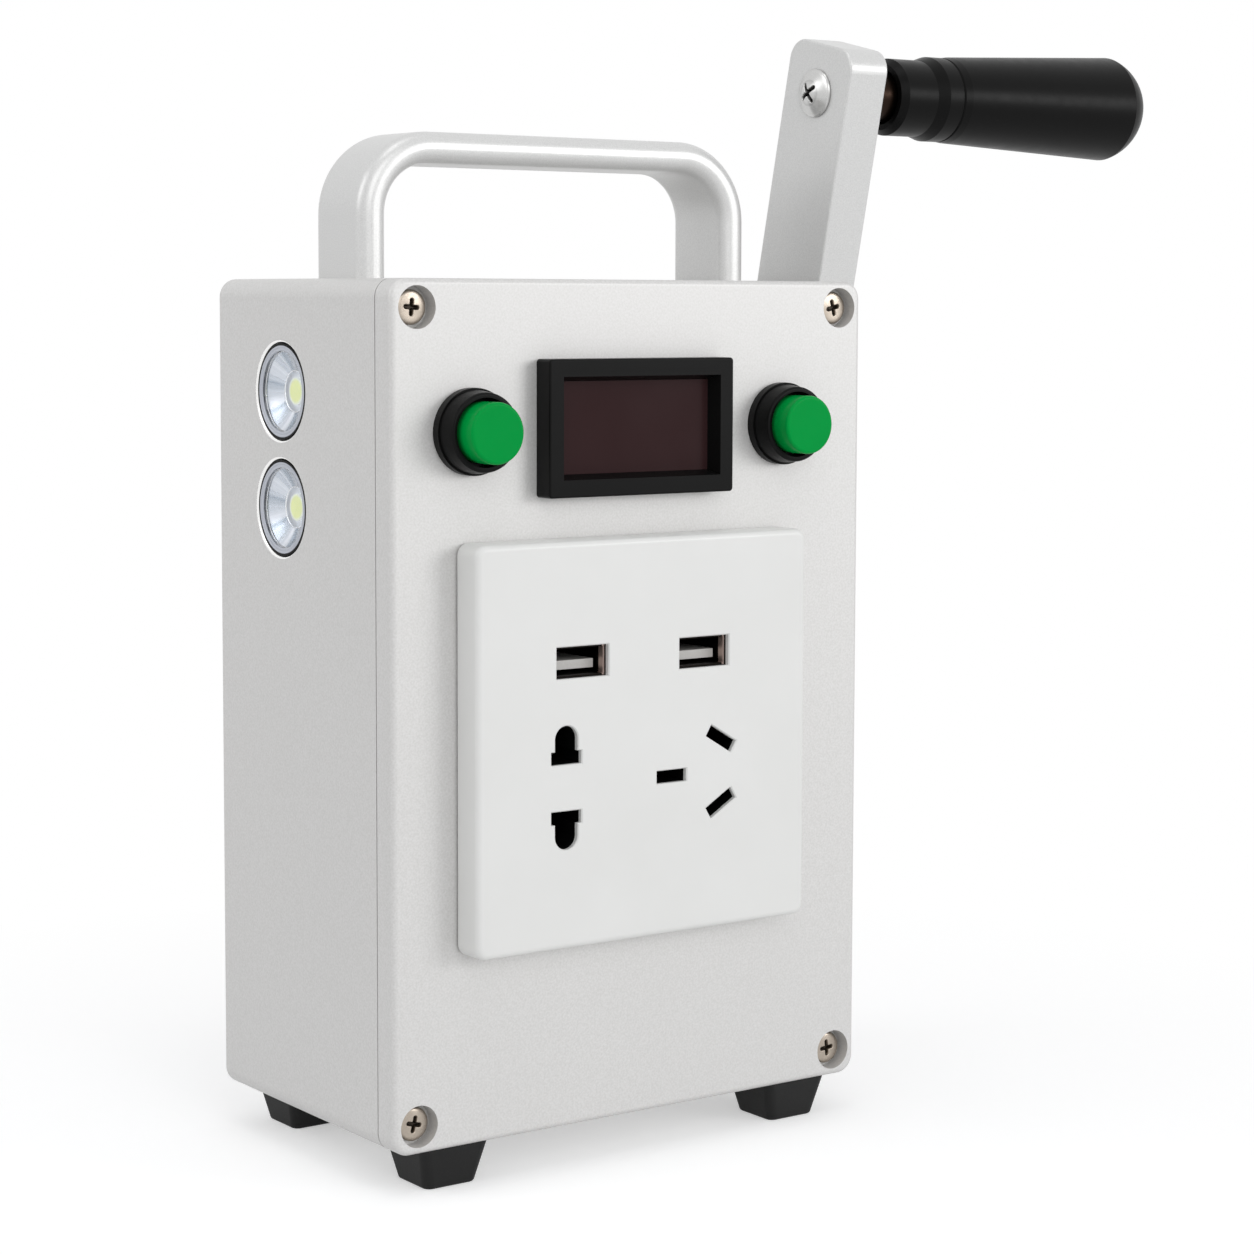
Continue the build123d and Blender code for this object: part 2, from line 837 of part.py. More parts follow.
# Black bodies: flange and tapered collar in front of the panel, threaded barrel behind it.
with BuildPart() as button_bodies:
    for plane in button_planes:
        with BuildSketch(axial(plane)):
            with BuildLine():
                Polyline(
                    (button_pocket_radius, button_floor_height),
                    (button_pocket_radius, pocket_floor),
                    (button_stem_bore_radius, pocket_floor),
                    (button_stem_bore_radius, 1 - button_thread_length),
                    (0, 1 - button_thread_length),
                    (0, -button_thread_length),
                    (button_thread_radius, -button_thread_length),
                    (button_thread_radius, 0),
                    (button_flange_radius, 0),
                    (button_flange_radius, button_flange_thickness),
                    (button_collar_base_radius, button_flange_thickness),
                    (button_collar_top_radius, button_collar_height - button_collar_fillet),
                )
                ThreePointArc(
                    (button_collar_top_radius, button_collar_height - button_collar_fillet),
                    (button_collar_top_radius - rim_inset, button_collar_height - rim_inset),
                    (button_collar_top_radius - button_collar_fillet, button_collar_height),
                )
                Polyline(
                    (button_collar_top_radius - button_collar_fillet, button_collar_height),
                    (collar_bore_radius, button_collar_height),
                    (collar_bore_radius, button_floor_height),
                    (button_pocket_radius, button_floor_height),
                )
            make_face()
        revolve(axis=Axis(plane.origin, plane.z_dir))
        with BuildSketch(plane.offset(-button_thread_length)):
            with Locations((-button_terminal_spacing / 2, 0), (button_terminal_spacing / 2, 0)):
                Rectangle(button_terminal_thickness, button_terminal_width)
        extrude(amount=-button_terminal_length)
write(button_bodies, "button_bodies")

with BuildPart() as button_nuts:
    for plane in button_planes:
        with BuildSketch(plane.offset(-cover_plate)):
            RegularPolygon(button_nut_across / 2, 6, major_radius=False)
            Circle(button_thread_radius + thread_clearance, mode=Mode.SUBTRACT)
        extrude(amount=-button_nut_height)
write(button_nuts, "button_nuts")


def button_cap(plane):
    """Green cap with a hollow skirt and a stem that runs down through the spring."""
    skirt_bottom = button_floor_height + button_travel + button_end_gap
    roof = button_cap_top - button_cap_wall
    with BuildPart() as cap:
        with BuildSketch(plane.offset(skirt_bottom)):
            Circle(button_cap_radius)
        extrude(amount=button_cap_top - skirt_bottom)
        fillet(cap.faces().sort_by(Axis.Y)[0].edges(), radius=button_cap_fillet)
        with BuildSketch(plane.offset(skirt_bottom)):
            Circle(button_cap_radius - button_cap_wall)
        extrude(amount=roof - skirt_bottom, mode=Mode.SUBTRACT)
        with BuildSketch(plane.offset(roof)):
            Circle(button_stem_radius)
        extrude(amount=-button_stem_length)
    return cap


def button_spring(plane):
    """Space of the return spring, from the barrel's pocket to the cap's roof."""
    roof = button_cap_top - button_cap_wall
    return rings(
        [plane.offset(pocket_floor)],
        button_spring_radius,
        button_spring_radius - button_spring_wire,
        roof - pocket_floor,
    )


for side, plane in zip(("left", "right"), button_planes):
    write(button_cap(plane), f"button_{side}_cap")
    write(button_spring(plane), f"button_{side}_spring")

# ---------------------------------------------------------------- panel meter
meter_plane = facing_front(meter_x, front_y, meter_z)
window_back = meter_proud - meter_window_recess - meter_window_thickness

# Bezel with sloping walls round the window, and the snap-in body behind the panel.
with BuildPart() as meter_bezel:
    with BuildSketch(meter_plane):
        RectangleRounded(meter_width, meter_tall, meter_edge_fillet)
    extrude(amount=meter_proud)
    fillet(meter_bezel.faces().sort_by(Axis.Y)[0].edges(), radius=meter_edge_fillet / 2)
    with BuildSketch(meter_plane):
        Rectangle(meter_body_width, meter_body_tall)
    extrude(amount=-meter_body_depth)
    with BuildSketch(meter_plane.offset(meter_proud)):
        Rectangle(meter_opening_width, meter_opening_tall)
    with BuildSketch(meter_plane.offset(meter_proud - meter_window_recess)):
        Rectangle(meter_window_width, meter_window_tall)
    loft(mode=Mode.SUBTRACT)
    with BuildSketch(meter_plane.offset(meter_proud - meter_window_recess)):
        Rectangle(meter_window_width, meter_window_tall)
    extrude(amount=-meter_body_depth - meter_proud, mode=Mode.SUBTRACT)
    with BuildSketch(meter_plane.offset(-meter_wall)):
        Rectangle(meter_body_width - 2 * meter_wall, meter_body_tall - 2 * meter_wall)
    extrude(amount=meter_wall - meter_body_depth, mode=Mode.SUBTRACT)
write(meter_bezel, "meter_bezel")

with BuildPart() as meter_window:
    with BuildSketch(meter_plane.offset(window_back)):
        Rectangle(
            meter_window_width - 2 * press_clearance, meter_window_tall - 2 * press_clearance
        )
    extrude(amount=meter_window_thickness)
write(meter_window, "meter_window")

# Board across the back of the body, carrying the digit block that reaches up to the window.
with BuildPart() as meter_board:
    with BuildSketch(meter_plane.offset(-meter_body_depth)):
        Rectangle(
            meter_body_width - 2 * meter_wall - 2 * press_clearance,
            meter_body_tall - 2 * meter_wall - 2 * press_clearance,
        )
    extrude(amount=meter_board_thickness)
    with BuildSketch(meter_plane.offset(-meter_body_depth)):
        Rectangle(meter_digits_width, meter_digits_tall)
    extrude(amount=meter_body_depth + window_back)
write(meter_board, "meter_board")

# ---------------------------------------------------------------- socket plate
socket_plane = facing_front(socket_x, front_y, socket_z)
frame_size = socket_size - 2 * socket_rim - 2 * part_clearance
frame_front = socket_proud - socket_face
frame_wall_back = frame_front - socket_frame_wall
usb_x = [usb_middle_x + side * usb_spacing / 2 for side in (-1, 1)]


def pin_openings(margin):
    """Faces of the two keyholes and three flat slots, in the plate's own axes, grown by a margin."""
    foot_middle = keyhole_inner + keyhole_foot_height / 2
    crown = keyhole_inner + keyhole_length - keyhole_radius
    with BuildSketch() as faces:
        for side in (-1, 1):
            with Locations((keyhole_x, socket_row_z + side * foot_middle)):
                Rectangle(keyhole_foot_width + 2 * margin, keyhole_foot_height + 2 * margin)
            with Locations((keyhole_x, socket_row_z + side * (foot_middle + crown) / 2)):
                Rectangle(2 * keyhole_radius + 2 * margin, crown - foot_middle)
            with Locations((keyhole_x, socket_row_z + side * crown)):
                Circle(keyhole_radius + margin)
            with Locations((live_slot_x, socket_row_z + side * live_slot_offset)):
                Rectangle(
                    slot_length + 2 * margin,
                    slot_width + 2 * margin,
                    rotation=-side * live_slot_angle,
                )
        with Locations((ground_slot_x, socket_row_z)):
            Rectangle(slot_length + 2 * margin, slot_width + 2 * margin)
    return faces.sketch


pin_faces = pin_openings(0)
contact_faces = pin_openings(contact_wall)

# Snap-on plate: a shallow tray whose rim stops just short of the panel.
with BuildPart() as socket_plate:
    with BuildSketch(socket_plane.offset(socket_shadow_gap)):
        RectangleRounded(socket_size, socket_size, socket_corner_radius)
    extrude(amount=socket_proud - socket_shadow_gap)
    fillet(socket_plate.faces().sort_by(Axis.Y)[0].edges(), radius=socket_edge_fillet)
    with BuildSketch(socket_plane.offset(socket_shadow_gap)):
        Rectangle(socket_size - 2 * socket_rim, socket_size - 2 * socket_rim)
    extrude(amount=frame_front - socket_shadow_gap, mode=Mode.SUBTRACT)
    with BuildSketch(socket_plane.offset(frame_front)):
        add(pin_faces)
        with Locations(*[(x, usb_row_z) for x in usb_x]):
            Rectangle(usb_width, usb_tall)
    extrude(amount=socket_face, mode=Mode.SUBTRACT)
    chamfer(
        socket_plate.faces().sort_by(Axis.Y)[0].inner_wires().edges(),
        length=socket_opening_chamfer,
    )
write(socket_plate, "socket_plate")

# Frame behind the plate, with the hollow body that passes through the panel.
body_inner = socket_body - 2 * socket_body_wall
with BuildPart() as socket_frame:
    with BuildSketch(socket_plane):
        Rectangle(frame_size, frame_size)
    extrude(amount=frame_front)
    with BuildSketch(socket_plane):
        Rectangle(socket_body, socket_body)
    extrude(amount=-socket_body_depth)
    with BuildSketch(socket_plane.offset(frame_wall_back)):
        Rectangle(body_inner, body_inner)
    extrude(amount=-socket_body_depth - frame_wall_back, mode=Mode.SUBTRACT)
    with BuildSketch(socket_plane.offset(frame_wall_back)):
        add(pin_faces)
        with Locations(*[(x, usb_row_z) for x in usb_x]):
            Rectangle(usb_width, usb_tall)
    extrude(amount=socket_frame_wall, mode=Mode.SUBTRACT)
    with Locations(*[facing_front(x, front_y - frame_front, socket_z) for x in socket_screws_x]):
        CounterBoreHole(
            socket_screw_radius + bolt_clearance,
            socket_head_radius + part_clearance,
            socket_head_height + socket_head_inset,
            depth=frame_front,
        )
write(socket_frame, "socket_frame")

with BuildPart() as socket_back:
    with BuildSketch(socket_plane.offset(-socket_body_depth)):
        Rectangle(socket_body, socket_body)
    extrude(amount=-socket_back_thickness)
write(socket_back, "socket_back")

# Brass cups behind the five pin openings, closed at the back.
with BuildPart() as socket_contacts:
    with BuildSketch(socket_plane.offset(frame_wall_back)):
        add(contact_faces)
    extrude(amount=-contact_depth)
    with BuildSketch(socket_plane.offset(frame_wall_back)):
        add(pin_faces)
    extrude(amount=contact_wall - contact_depth, mode=Mode.SUBTRACT)
write(socket_contacts, "socket_contacts")

# Two metal port shells with tongues, and the board that they are soldered to.
usb_front = socket_proud - usb_shell_recess
usb_back = usb_front - usb_shell_length
with BuildPart() as usb_module:
    with BuildSketch(socket_plane.offset(usb_back)):
        with Locations(*[(x, usb_row_z) for x in usb_x]):
            Rectangle(usb_width - bolt_clearance, usb_tall - bolt_clearance)
    extrude(amount=usb_shell_length)
    with BuildSketch(socket_plane.offset(usb_back + usb_shell_wall)):
        with Locations(*[(x, usb_row_z) for x in usb_x]):
            Rectangle(
                usb_width - bolt_clearance - 2 * usb_shell_wall,
                usb_tall - bolt_clearance - 2 * usb_shell_wall,
            )
    extrude(amount=usb_shell_length, mode=Mode.SUBTRACT)
    with BuildSketch(socket_plane.offset(usb_back)):
        with Locations(*[(x, usb_row_z - usb_tongue_drop) for x in usb_x]):
            Rectangle(usb_tongue_width, usb_tongue_thickness)
    extrude(amount=socket_proud - usb_tongue_recess - usb_back)
    with BuildSketch(socket_plane.offset(usb_back - thread_clearance)):
        with Locations((0, usb_row_z)):
            Rectangle(body_inner - 2 * press_clearance, usb_board_tall)
    extrude(amount=-usb_board_thickness)
write(usb_module, "usb_module")

socket_seat_y = front_y - frame_front + socket_head_inset + socket_head_height
socket_screws = screws(
    [facing_front(x, socket_seat_y, socket_z) for x in socket_screws_x],
    socket_head_radius,
    socket_head_height,
    socket_screw_radius,
    socket_screw_length,
)
write(socket_screws, "socket_screws")

# ---------------------------------------------------------------- gear plates
with BuildPart() as gear_plate_outer:
    with BuildSketch(facing_right(outer_plate_x, 0, 0)):
        with Locations((plate_middle_y, plate_z)):
            RectangleRounded(plate_width, plate_height, plate_corner_radius)
        with Locations((crank_y, crank_z)):
            Circle(shaft_radius + bush_wall + press_clearance, mode=Mode.SUBTRACT)
        with Locations((idler_y, idler_z)):
            Circle(idler_axle_radius + press_clearance, mode=Mode.SUBTRACT)
        with Locations(*standoff_points):
            Circle(gear_screw_radius + bolt_clearance, mode=Mode.SUBTRACT)
    extrude(amount=plate_thickness)
write(gear_plate_outer, "gear_plate_outer")

generator_screw_points = [
    (rotor_y - generator_screw_offset, rotor_z),
    (rotor_y + generator_screw_offset, rotor_z),
]
with BuildPart() as gear_plate_inner:
    with BuildSketch(facing_right(inner_plate_x, 0, 0)):
        with Locations((plate_middle_y, plate_z)):
            RectangleRounded(plate_width, plate_height, plate_corner_radius)
        with Locations((crank_y, crank_z)):
            Circle(shaft_inner_radius + inner_bush_wall + press_clearance, mode=Mode.SUBTRACT)
        with Locations((idler_y, idler_z)):
            Circle(idler_axle_radius + press_clearance, mode=Mode.SUBTRACT)
        with Locations((rotor_y, rotor_z)):
            Circle(generator_nose_radius + thread_clearance, mode=Mode.SUBTRACT)
        with Locations(*generator_screw_points):
            Circle(generator_screw_radius + bolt_clearance, mode=Mode.SUBTRACT)
        with Locations(*standoff_points):
            Circle(gear_screw_radius + bolt_clearance, mode=Mode.SUBTRACT)
    extrude(amount=plate_thickness)
write(gear_plate_inner, "gear_plate_inner")

with BuildPart() as gear_standoffs:
    with BuildSketch(facing_right(gap_start_x, 0, 0)):
        with Locations(*standoff_points):
            RegularPolygon(standoff_across / 2, 6, major_radius=False)
            Circle(gear_screw_radius + thread_clearance, mode=Mode.SUBTRACT)
    extrude(amount=plate_gap)
write(gear_standoffs, "gear_standoffs")

gearbox_screws = screws(
    [facing_right(side_x, y, z) for y, z in standoff_points]
    + [facing_left(inner_plate_x, y, z) for y, z in standoff_points],
    gear_head_radius,
    gear_head_height,
    gear_screw_radius,
    wall + plate_thickness + gear_screw_reach,
)
write(gearbox_screws, "gearbox_screws")

# Flanged bushes: one through the wall and outer plate, a small one in the inner plate.
bush_outer_plane = facing_right(outer_plate_x, crank_y, crank_z)
bush_inner_plane = facing_left(gap_start_x, crank_y, crank_z)
bush_length = plate_thickness + wall
with BuildPart() as crank_bushes:
    with BuildSketch(bush_outer_plane):
        Circle(shaft_radius + bush_wall)
    extrude(amount=bush_length)
    with BuildSketch(bush_outer_plane.offset(bush_length)):
        Circle(shaft_radius + bush_wall + bush_flange_rim)
    extrude(amount=bush_flange)
    with BuildSketch(bush_outer_plane):
        Circle(shaft_radius + running_clearance)
    extrude(amount=bush_length + bush_flange, mode=Mode.SUBTRACT)
    with BuildSketch(bush_inner_plane):
        Circle(shaft_inner_radius + inner_bush_wall)
    extrude(amount=plate_thickness)
    with BuildSketch(bush_inner_plane):
        Circle(shaft_inner_radius + inner_bush_wall + bush_flange_rim)
    extrude(amount=-bush_flange)
    with BuildSketch(bush_inner_plane.offset(-bush_flange)):
        Circle(shaft_inner_radius + running_clearance)
    extrude(amount=plate_thickness + bush_flange, mode=Mode.SUBTRACT)
write(crank_bushes, "crank_bushes")

idler_axle = rings(
    [facing_right(inner_plate_x, idler_y, idler_z)],
    idler_axle_radius,
    idler_axle_radius / 3,
    plate_gap + 2 * plate_thickness,
)
write(idler_axle, "idler_axle")

# ---------------------------------------------------------------- gears
# The crank gear runs next to the outer plate and the idler wheel next to the inner one.
idler_pinion_x = outer_plate_x - idler_pinion_width - bush_flange
crank_gear_x = idler_pinion_x + (idler_pinion_width - crank_gear_width) / 2
rotor_pinion_x = idler_pinion_x - gear_hub_length - rotor_pinion_width + bush_flange
idler_wheel_x = rotor_pinion_x + (rotor_pinion_width - idler_wheel_width) / 2

crank_gear = gear(
    facing_right(crank_gear_x, crank_y, crank_z),
    crank_gear_teeth,
    crank_gear_width,
    shaft_inner_radius + press_clearance,
    idler_direction,
    gear_hub_radius,
    gear_hub_length,
)
write(crank_gear, "crank_gear")

idler_hub_start = gap_start_x + bush_flange
idler_pinion = gear(
    facing_right(idler_pinion_x, idler_y, idler_z),
    idler_pinion_teeth,
    idler_pinion_width,
    idler_axle_radius + running_clearance,
    idler_direction + 180 + 180 / idler_pinion_teeth,
    idler_hub_radius,
    idler_pinion_x - idler_hub_start,
)
write(idler_pinion, "idler_pinion")

idler_wheel = gear(
    facing_right(idler_wheel_x, idler_y, idler_z),
    idler_wheel_teeth,
    idler_wheel_width,
    idler_hub_radius + press_clearance,
    rotor_direction,
)
write(idler_wheel, "idler_wheel")

rotor_pinion = gear(
    facing_right(rotor_pinion_x, rotor_y, rotor_z),
    rotor_pinion_teeth,
    rotor_pinion_width,
    rotor_shaft_radius + press_clearance,
    rotor_direction + 180 + 180 / rotor_pinion_teeth,
)
write(rotor_pinion, "rotor_pinion")

# ---------------------------------------------------------------- crank
arm_middle_y = (crank_y + spindle_y) / 2
arm_middle_z = (crank_z + spindle_z) / 2
arm_direction = (0, spindle_y - crank_y, spindle_z - crank_z)
arm_plane = Plane(
    origin=(arm_inner_x, arm_middle_y, arm_middle_z), x_dir=arm_direction, z_dir=(1, 0, 0)
)
shaft_end_plane = Plane(
    origin=(arm_inner_x, crank_y, crank_z), x_dir=arm_direction, z_dir=(1, 0, 0)
)

# Flat bar with a flatted bore for the shaft and a plain one for the grip's screw.
with BuildPart() as crank_arm:
    with BuildSketch(arm_plane):
        RectangleRounded(crank_throw + arm_width, arm_width, arm_corner_radius)
    extrude(amount=arm_thickness)
    fillet(crank_arm.faces().filter_by(Axis.X).edges(), radius=arm_edge_fillet)
    with BuildSketch(shaft_end_plane):
        Circle(shaft_inner_radius + thread_clearance)
        Rectangle(
            2 * shaft_inner_radius + 1,
            2 * shaft_flat + 2 * thread_clearance,
            mode=Mode.INTERSECT,
        )
    extrude(amount=arm_thickness, mode=Mode.SUBTRACT)
    with BuildSketch(facing_right(arm_inner_x, spindle_y, spindle_z)):
        Circle(grip_screw_radius + bolt_clearance)
    extrude(amount=arm_thickness, mode=Mode.SUBTRACT)
write(crank_arm, "crank_arm")

# Stepped shaft: gear seat, bush journal, then flats for the arm.
shaft_start_x = inner_plate_x - shaft_tail
with BuildPart() as crank_shaft:
    with BuildSketch(facing_right(shaft_start_x, crank_y, crank_z)):
        Circle(shaft_inner_radius)
    extrude(amount=outer_plate_x - shaft_start_x)
    with BuildSketch(facing_right(outer_plate_x - bush_flange, crank_y, crank_z)):
        Circle(shaft_radius)
    extrude(amount=arm_inner_x - outer_plate_x + bush_flange)
    with BuildSketch(shaft_end_plane):
        Circle(shaft_inner_radius)
        Rectangle(2 * shaft_inner_radius + 1, 2 * shaft_flat, mode=Mode.INTERSECT)
    extrude(amount=arm_thickness - shaft_end_gap)
    with BuildSketch(facing_right(arm_outer_x - shaft_end_gap, crank_y, crank_z)):
        Circle(crank_screw_radius + thread_clearance)
    extrude(amount=-crank_screw_length, mode=Mode.SUBTRACT)
write(crank_shaft, "crank_shaft")

spacer_start_x = side_x + bush_flange + spacer_end_gap
hub_spacer = rings(
    [facing_right(spacer_start_x, crank_y, crank_z)],
    spacer_radius,
    shaft_radius + press_clearance,
    arm_inner_x - spacer_start_x,
)
write(hub_spacer, "hub_spacer")

crank_washer = rings(
    [facing_right(arm_outer_x, crank_y, crank_z)],
    crank_washer_radius,
    crank_screw_radius + bolt_clearance,
    crank_washer_thickness,
)
write(crank_washer, "crank_washer")

crank_fixing_screw = screws(
    [facing_right(arm_outer_x + crank_washer_thickness, crank_y, crank_z)],
    crank_head_radius,
    crank_head_height,
    crank_screw_radius,
    crank_screw_length - shaft_end_gap,
)
write(crank_fixing_screw, "crank_fixing_screw")

# ---------------------------------------------------------------- grip
grip_plane = facing_right(arm_outer_x, spindle_y, spindle_z)
grip_end = grip_start + grip_length
spindle_length = grip_end - spindle_cap_seat - grip_tail_wall

grip_screw = screws(
    [facing_left(arm_inner_x, spindle_y, spindle_z)],
    grip_screw_head_radius,
    grip_screw_head_height,
    grip_screw_radius,
    arm_thickness + grip_screw_reach,
)
write(grip_screw, "grip_screw")

# Steel spindle with a collar against the arm, tapped at both ends.
with BuildPart() as grip_spindle:
    with BuildSketch(grip_plane):
        Circle(spindle_collar_radius)
    extrude(amount=spindle_collar_length)
    with BuildSketch(grip_plane):
        Circle(spindle_radius)
    extrude(amount=spindle_length)
    with BuildSketch(grip_plane):
        Circle(grip_screw_radius + thread_clearance)
    extrude(amount=grip_screw_reach + bush_flange, mode=Mode.SUBTRACT)
    with BuildSketch(grip_plane.offset(spindle_length)):
        Circle(spindle_cap_shank_radius + thread_clearance)
    extrude(amount=-spindle_cap_shank_length, mode=Mode.SUBTRACT)
write(grip_spindle, "grip_spindle")

# Turning grip: open neck, step, band, and a body that swells to a domed end.
neck_end = grip_start + grip_neck_length
step_end = neck_end + grip_step_length
band_end = step_end + grip_band_length
shoulder_end = band_end + 2 * grip_groove + grip_shoulder_length
dome_start = grip_end - grip_dome_length
cap_bore = spindle_cap_radius + part_clearance
bore_end = spindle_length + part_clearance
grip_dome_middle = grip_end_radius / 2
mouth_rim = dome_start + dome_height(grip_end_radius, grip_dome_length, cap_bore)
with BuildPart() as grip:
    with BuildSketch(axial(grip_plane)):
        with BuildLine():
            Polyline(
                (spindle_radius + running_clearance, bore_end),
                (spindle_radius + running_clearance, grip_start + grip_mouth_depth),
                (grip_mouth_radius, grip_start + grip_mouth_depth),
                (grip_mouth_radius, grip_start),
                (grip_rim_radius, grip_start),
                (grip_neck_radius, grip_start + grip_rim_length),
                (grip_neck_radius, neck_end),
                (grip_band_radius, step_end),
                (grip_band_radius, band_end),
                (grip_band_radius - grip_groove, band_end + grip_groove),
                (grip_band_radius, band_end + 2 * grip_groove),
                (grip_body_radius, shoulder_end),
                (grip_end_radius, dome_start),
            )
            ThreePointArc(
                (grip_end_radius, dome_start),
                (
                    grip_dome_middle,
                    dome_start + dome_height(grip_end_radius, grip_dome_length, grip_dome_middle),
                ),
                (cap_bore, mouth_rim),
            )
            Polyline(
                (cap_bore, mouth_rim),
                (cap_bore, grip_end - spindle_cap_seat),
                (spindle_cap_shank_radius + part_clearance, grip_end - spindle_cap_seat),
                (spindle_cap_shank_radius + part_clearance, bore_end),
                (spindle_radius + running_clearance, bore_end),
            )
        make_face()
    revolve(axis=Axis(grip_plane.origin, grip_plane.z_dir))
write(grip, "grip")

# Domed cap screw that holds the grip on the spindle.
cap_seat = grip_end - spindle_cap_seat + part_clearance
with BuildPart() as spindle_cap:
    with BuildSketch(axial(grip_plane)):
        with BuildLine():
            Polyline(
                (0, grip_end + spindle_cap_height),
                (0, spindle_length - spindle_cap_shank_length + part_clearance),
                (
                    spindle_cap_shank_radius,
                    spindle_length - spindle_cap_shank_length + part_clearance,
                ),
                (spindle_cap_shank_radius, cap_seat),
                (spindle_cap_radius, cap_seat),
                (spindle_cap_radius, grip_end),
            )
            ThreePointArc(
                (spindle_cap_radius, grip_end),
                (
                    spindle_cap_radius / 2,
                    grip_end
                    + dome_height(spindle_cap_radius, spindle_cap_height, spindle_cap_radius / 2),
                ),
                (0, grip_end + spindle_cap_height),
            )
        make_face()
    revolve(axis=Axis(grip_plane.origin, grip_plane.z_dir))
write(spindle_cap, "spindle_cap")

# ---------------------------------------------------------------- generator
generator_plane = facing_left(inner_plate_x, rotor_y, rotor_z)
can_inner = generator_radius - generator_wall

with BuildPart() as generator_can:
    with BuildSketch(generator_plane):
        Circle(generator_radius)
    extrude(amount=generator_length)
    with BuildSketch(generator_plane.offset(generator_face)):
        Circle(can_inner)
    extrude(amount=generator_length, mode=Mode.SUBTRACT)
    with BuildSketch(generator_plane):
        Circle(generator_nose_radius)
    extrude(amount=-generator_nose_length)
    with BuildSketch(generator_plane.offset(-generator_nose_length)):
        Circle(rotor_shaft_radius + running_clearance)
    extrude(amount=generator_nose_length + generator_face, mode=Mode.SUBTRACT)
    with BuildSketch(facing_right(inner_plate_x, 0, 0)):
        with Locations(*generator_screw_points):
            Circle(generator_screw_radius + thread_clearance)
    extrude(amount=-generator_face, mode=Mode.SUBTRACT)
write(generator_can, "generator_can")

cap_start = generator_length - generator_cap_thickness
with BuildPart() as generator_end_cap:
    with BuildSketch(generator_plane.offset(cap_start)):
        Circle(can_inner - press_clearance)
        Circle(rotor_shaft_radius + running_clearance, mode=Mode.SUBTRACT)
    extrude(amount=generator_cap_thickness)
    with BuildSketch(generator_plane.offset(generator_length)):
        with Locations((0, generator_tab_offset), (0, -generator_tab_offset)):
            Rectangle(generator_tab_width, generator_tab_width / 3)
    extrude(amount=generator_tab_length)
write(generator_end_cap, "generator_end_cap")

# Two curved magnets lining the can, either side of the rotor.
magnet_start = (generator_face + cap_start - magnet_length) / 2
with BuildPart() as generator_magnets:
    with BuildSketch(generator_plane.offset(magnet_start)):
        Circle(can_inner - press_clearance)
        Circle(can_inner - magnet_thickness, mode=Mode.SUBTRACT)
        Rectangle(magnet_gap_width, 2 * can_inner, mode=Mode.SUBTRACT)
    extrude(amount=magnet_length)
write(generator_magnets, "generator_magnets")

rotor_start = (generator_face + cap_start - rotor_core_length) / 2
with BuildPart() as generator_rotor:
    with BuildSketch(generator_plane.offset(rotor_start)):
        Circle(rotor_core_radius)
        with PolarLocations(rotor_core_radius - rotor_slot_depth / 2, rotor_slots):
            Rectangle(rotor_slot_depth + 1, rotor_slot_width, mode=Mode.SUBTRACT)
    extrude(amount=rotor_core_length)
    with BuildSketch(facing_right(rotor_pinion_x + rotor_pinion_width, rotor_y, rotor_z)):
        Circle(rotor_shaft_radius)
    extrude(
        amount=inner_plate_x
        - generator_length
        - rotor_shaft_tail
        - rotor_pinion_x
        - rotor_pinion_width
    )
write(generator_rotor, "generator_rotor")

generator_screws = screws(
    [facing_right(gap_start_x, y, z) for y, z in generator_screw_points],
    generator_head_radius,
    generator_head_height,
    generator_screw_radius,
    plate_thickness + generator_face,
)
write(generator_screws, "generator_screws")

# ---------------------------------------------------------------- battery pack
cell_z = inner_floor + tray_base + cell_radius + thread_clearance
cell_rows = [cell_spacing * (index - (cell_count - 1) / 2) for index in range(cell_count)]
tray_inner_length = cell_length + 2 * cell_button_height + 2 * contact_thickness
tray_length = tray_inner_length + 2 * tray_wall
tray_width = cell_spacing * cell_count + 2 * tray_wall
cell_start_x = -cell_length / 2

with BuildPart() as battery_tray:
    with BuildSketch(facing_up(0, 0, inner_floor)):
        Rectangle(tray_length, tray_width)
    extrude(amount=tray_end_height)
    with BuildSketch(facing_up(0, 0, inner_floor + tray_base)):
        Rectangle(tray_inner_length, tray_width - 2 * tray_wall)
    extrude(amount=tray_end_height, mode=Mode.SUBTRACT)
    with BuildSketch(facing_up(0, 0, inner_floor + tray_side_height)):
        Rectangle(tray_inner_length, tray_width)
    extrude(amount=tray_end_height, mode=Mode.SUBTRACT)
write(battery_tray, "battery_tray")

with BuildPart() as battery_cells:
    for row in cell_rows:
        with BuildSketch(facing_right(cell_start_x, row, cell_z)):
            Circle(cell_radius)
        extrude(amount=cell_length)
        with BuildSketch(facing_right(cell_start_x + cell_length, row, cell_z)):
            Circle(cell_button_radius)
        extrude(amount=cell_button_height)
write(battery_cells, "battery_cells")

# Metal strips at each end: flat on the far wall, dimpled where the flat cell ends sit back.
with BuildPart() as battery_contacts:
    contact_height = 2 * cell_button_radius
    for row in cell_rows:
        with BuildSketch(facing_right(tray_inner_length / 2 - contact_thickness, row, cell_z)):
            Rectangle(2 * contact_height, contact_height)
        extrude(amount=contact_thickness)
        with BuildSketch(facing_right(-tray_inner_length / 2, row, cell_z)):
            Rectangle(2 * contact_height, contact_height)
        extrude(amount=contact_thickness + cell_button_height)
write(battery_contacts, "battery_contacts")


# ---------------------------------------------------------------- circuit boards
board_back_y = inner_rear_y - board_standoff_length
board_front_y = board_back_y - board_thickness


def board_corners(x, z, width, tall):
    """Fixing holes of a board, in from its corners."""
    half_width = width / 2 - board_hole_inset
    half_tall = tall / 2 - board_hole_inset
    return [(x + a * half_width, z + b * half_tall) for a in (-1, 1) for b in (-1, 1)]


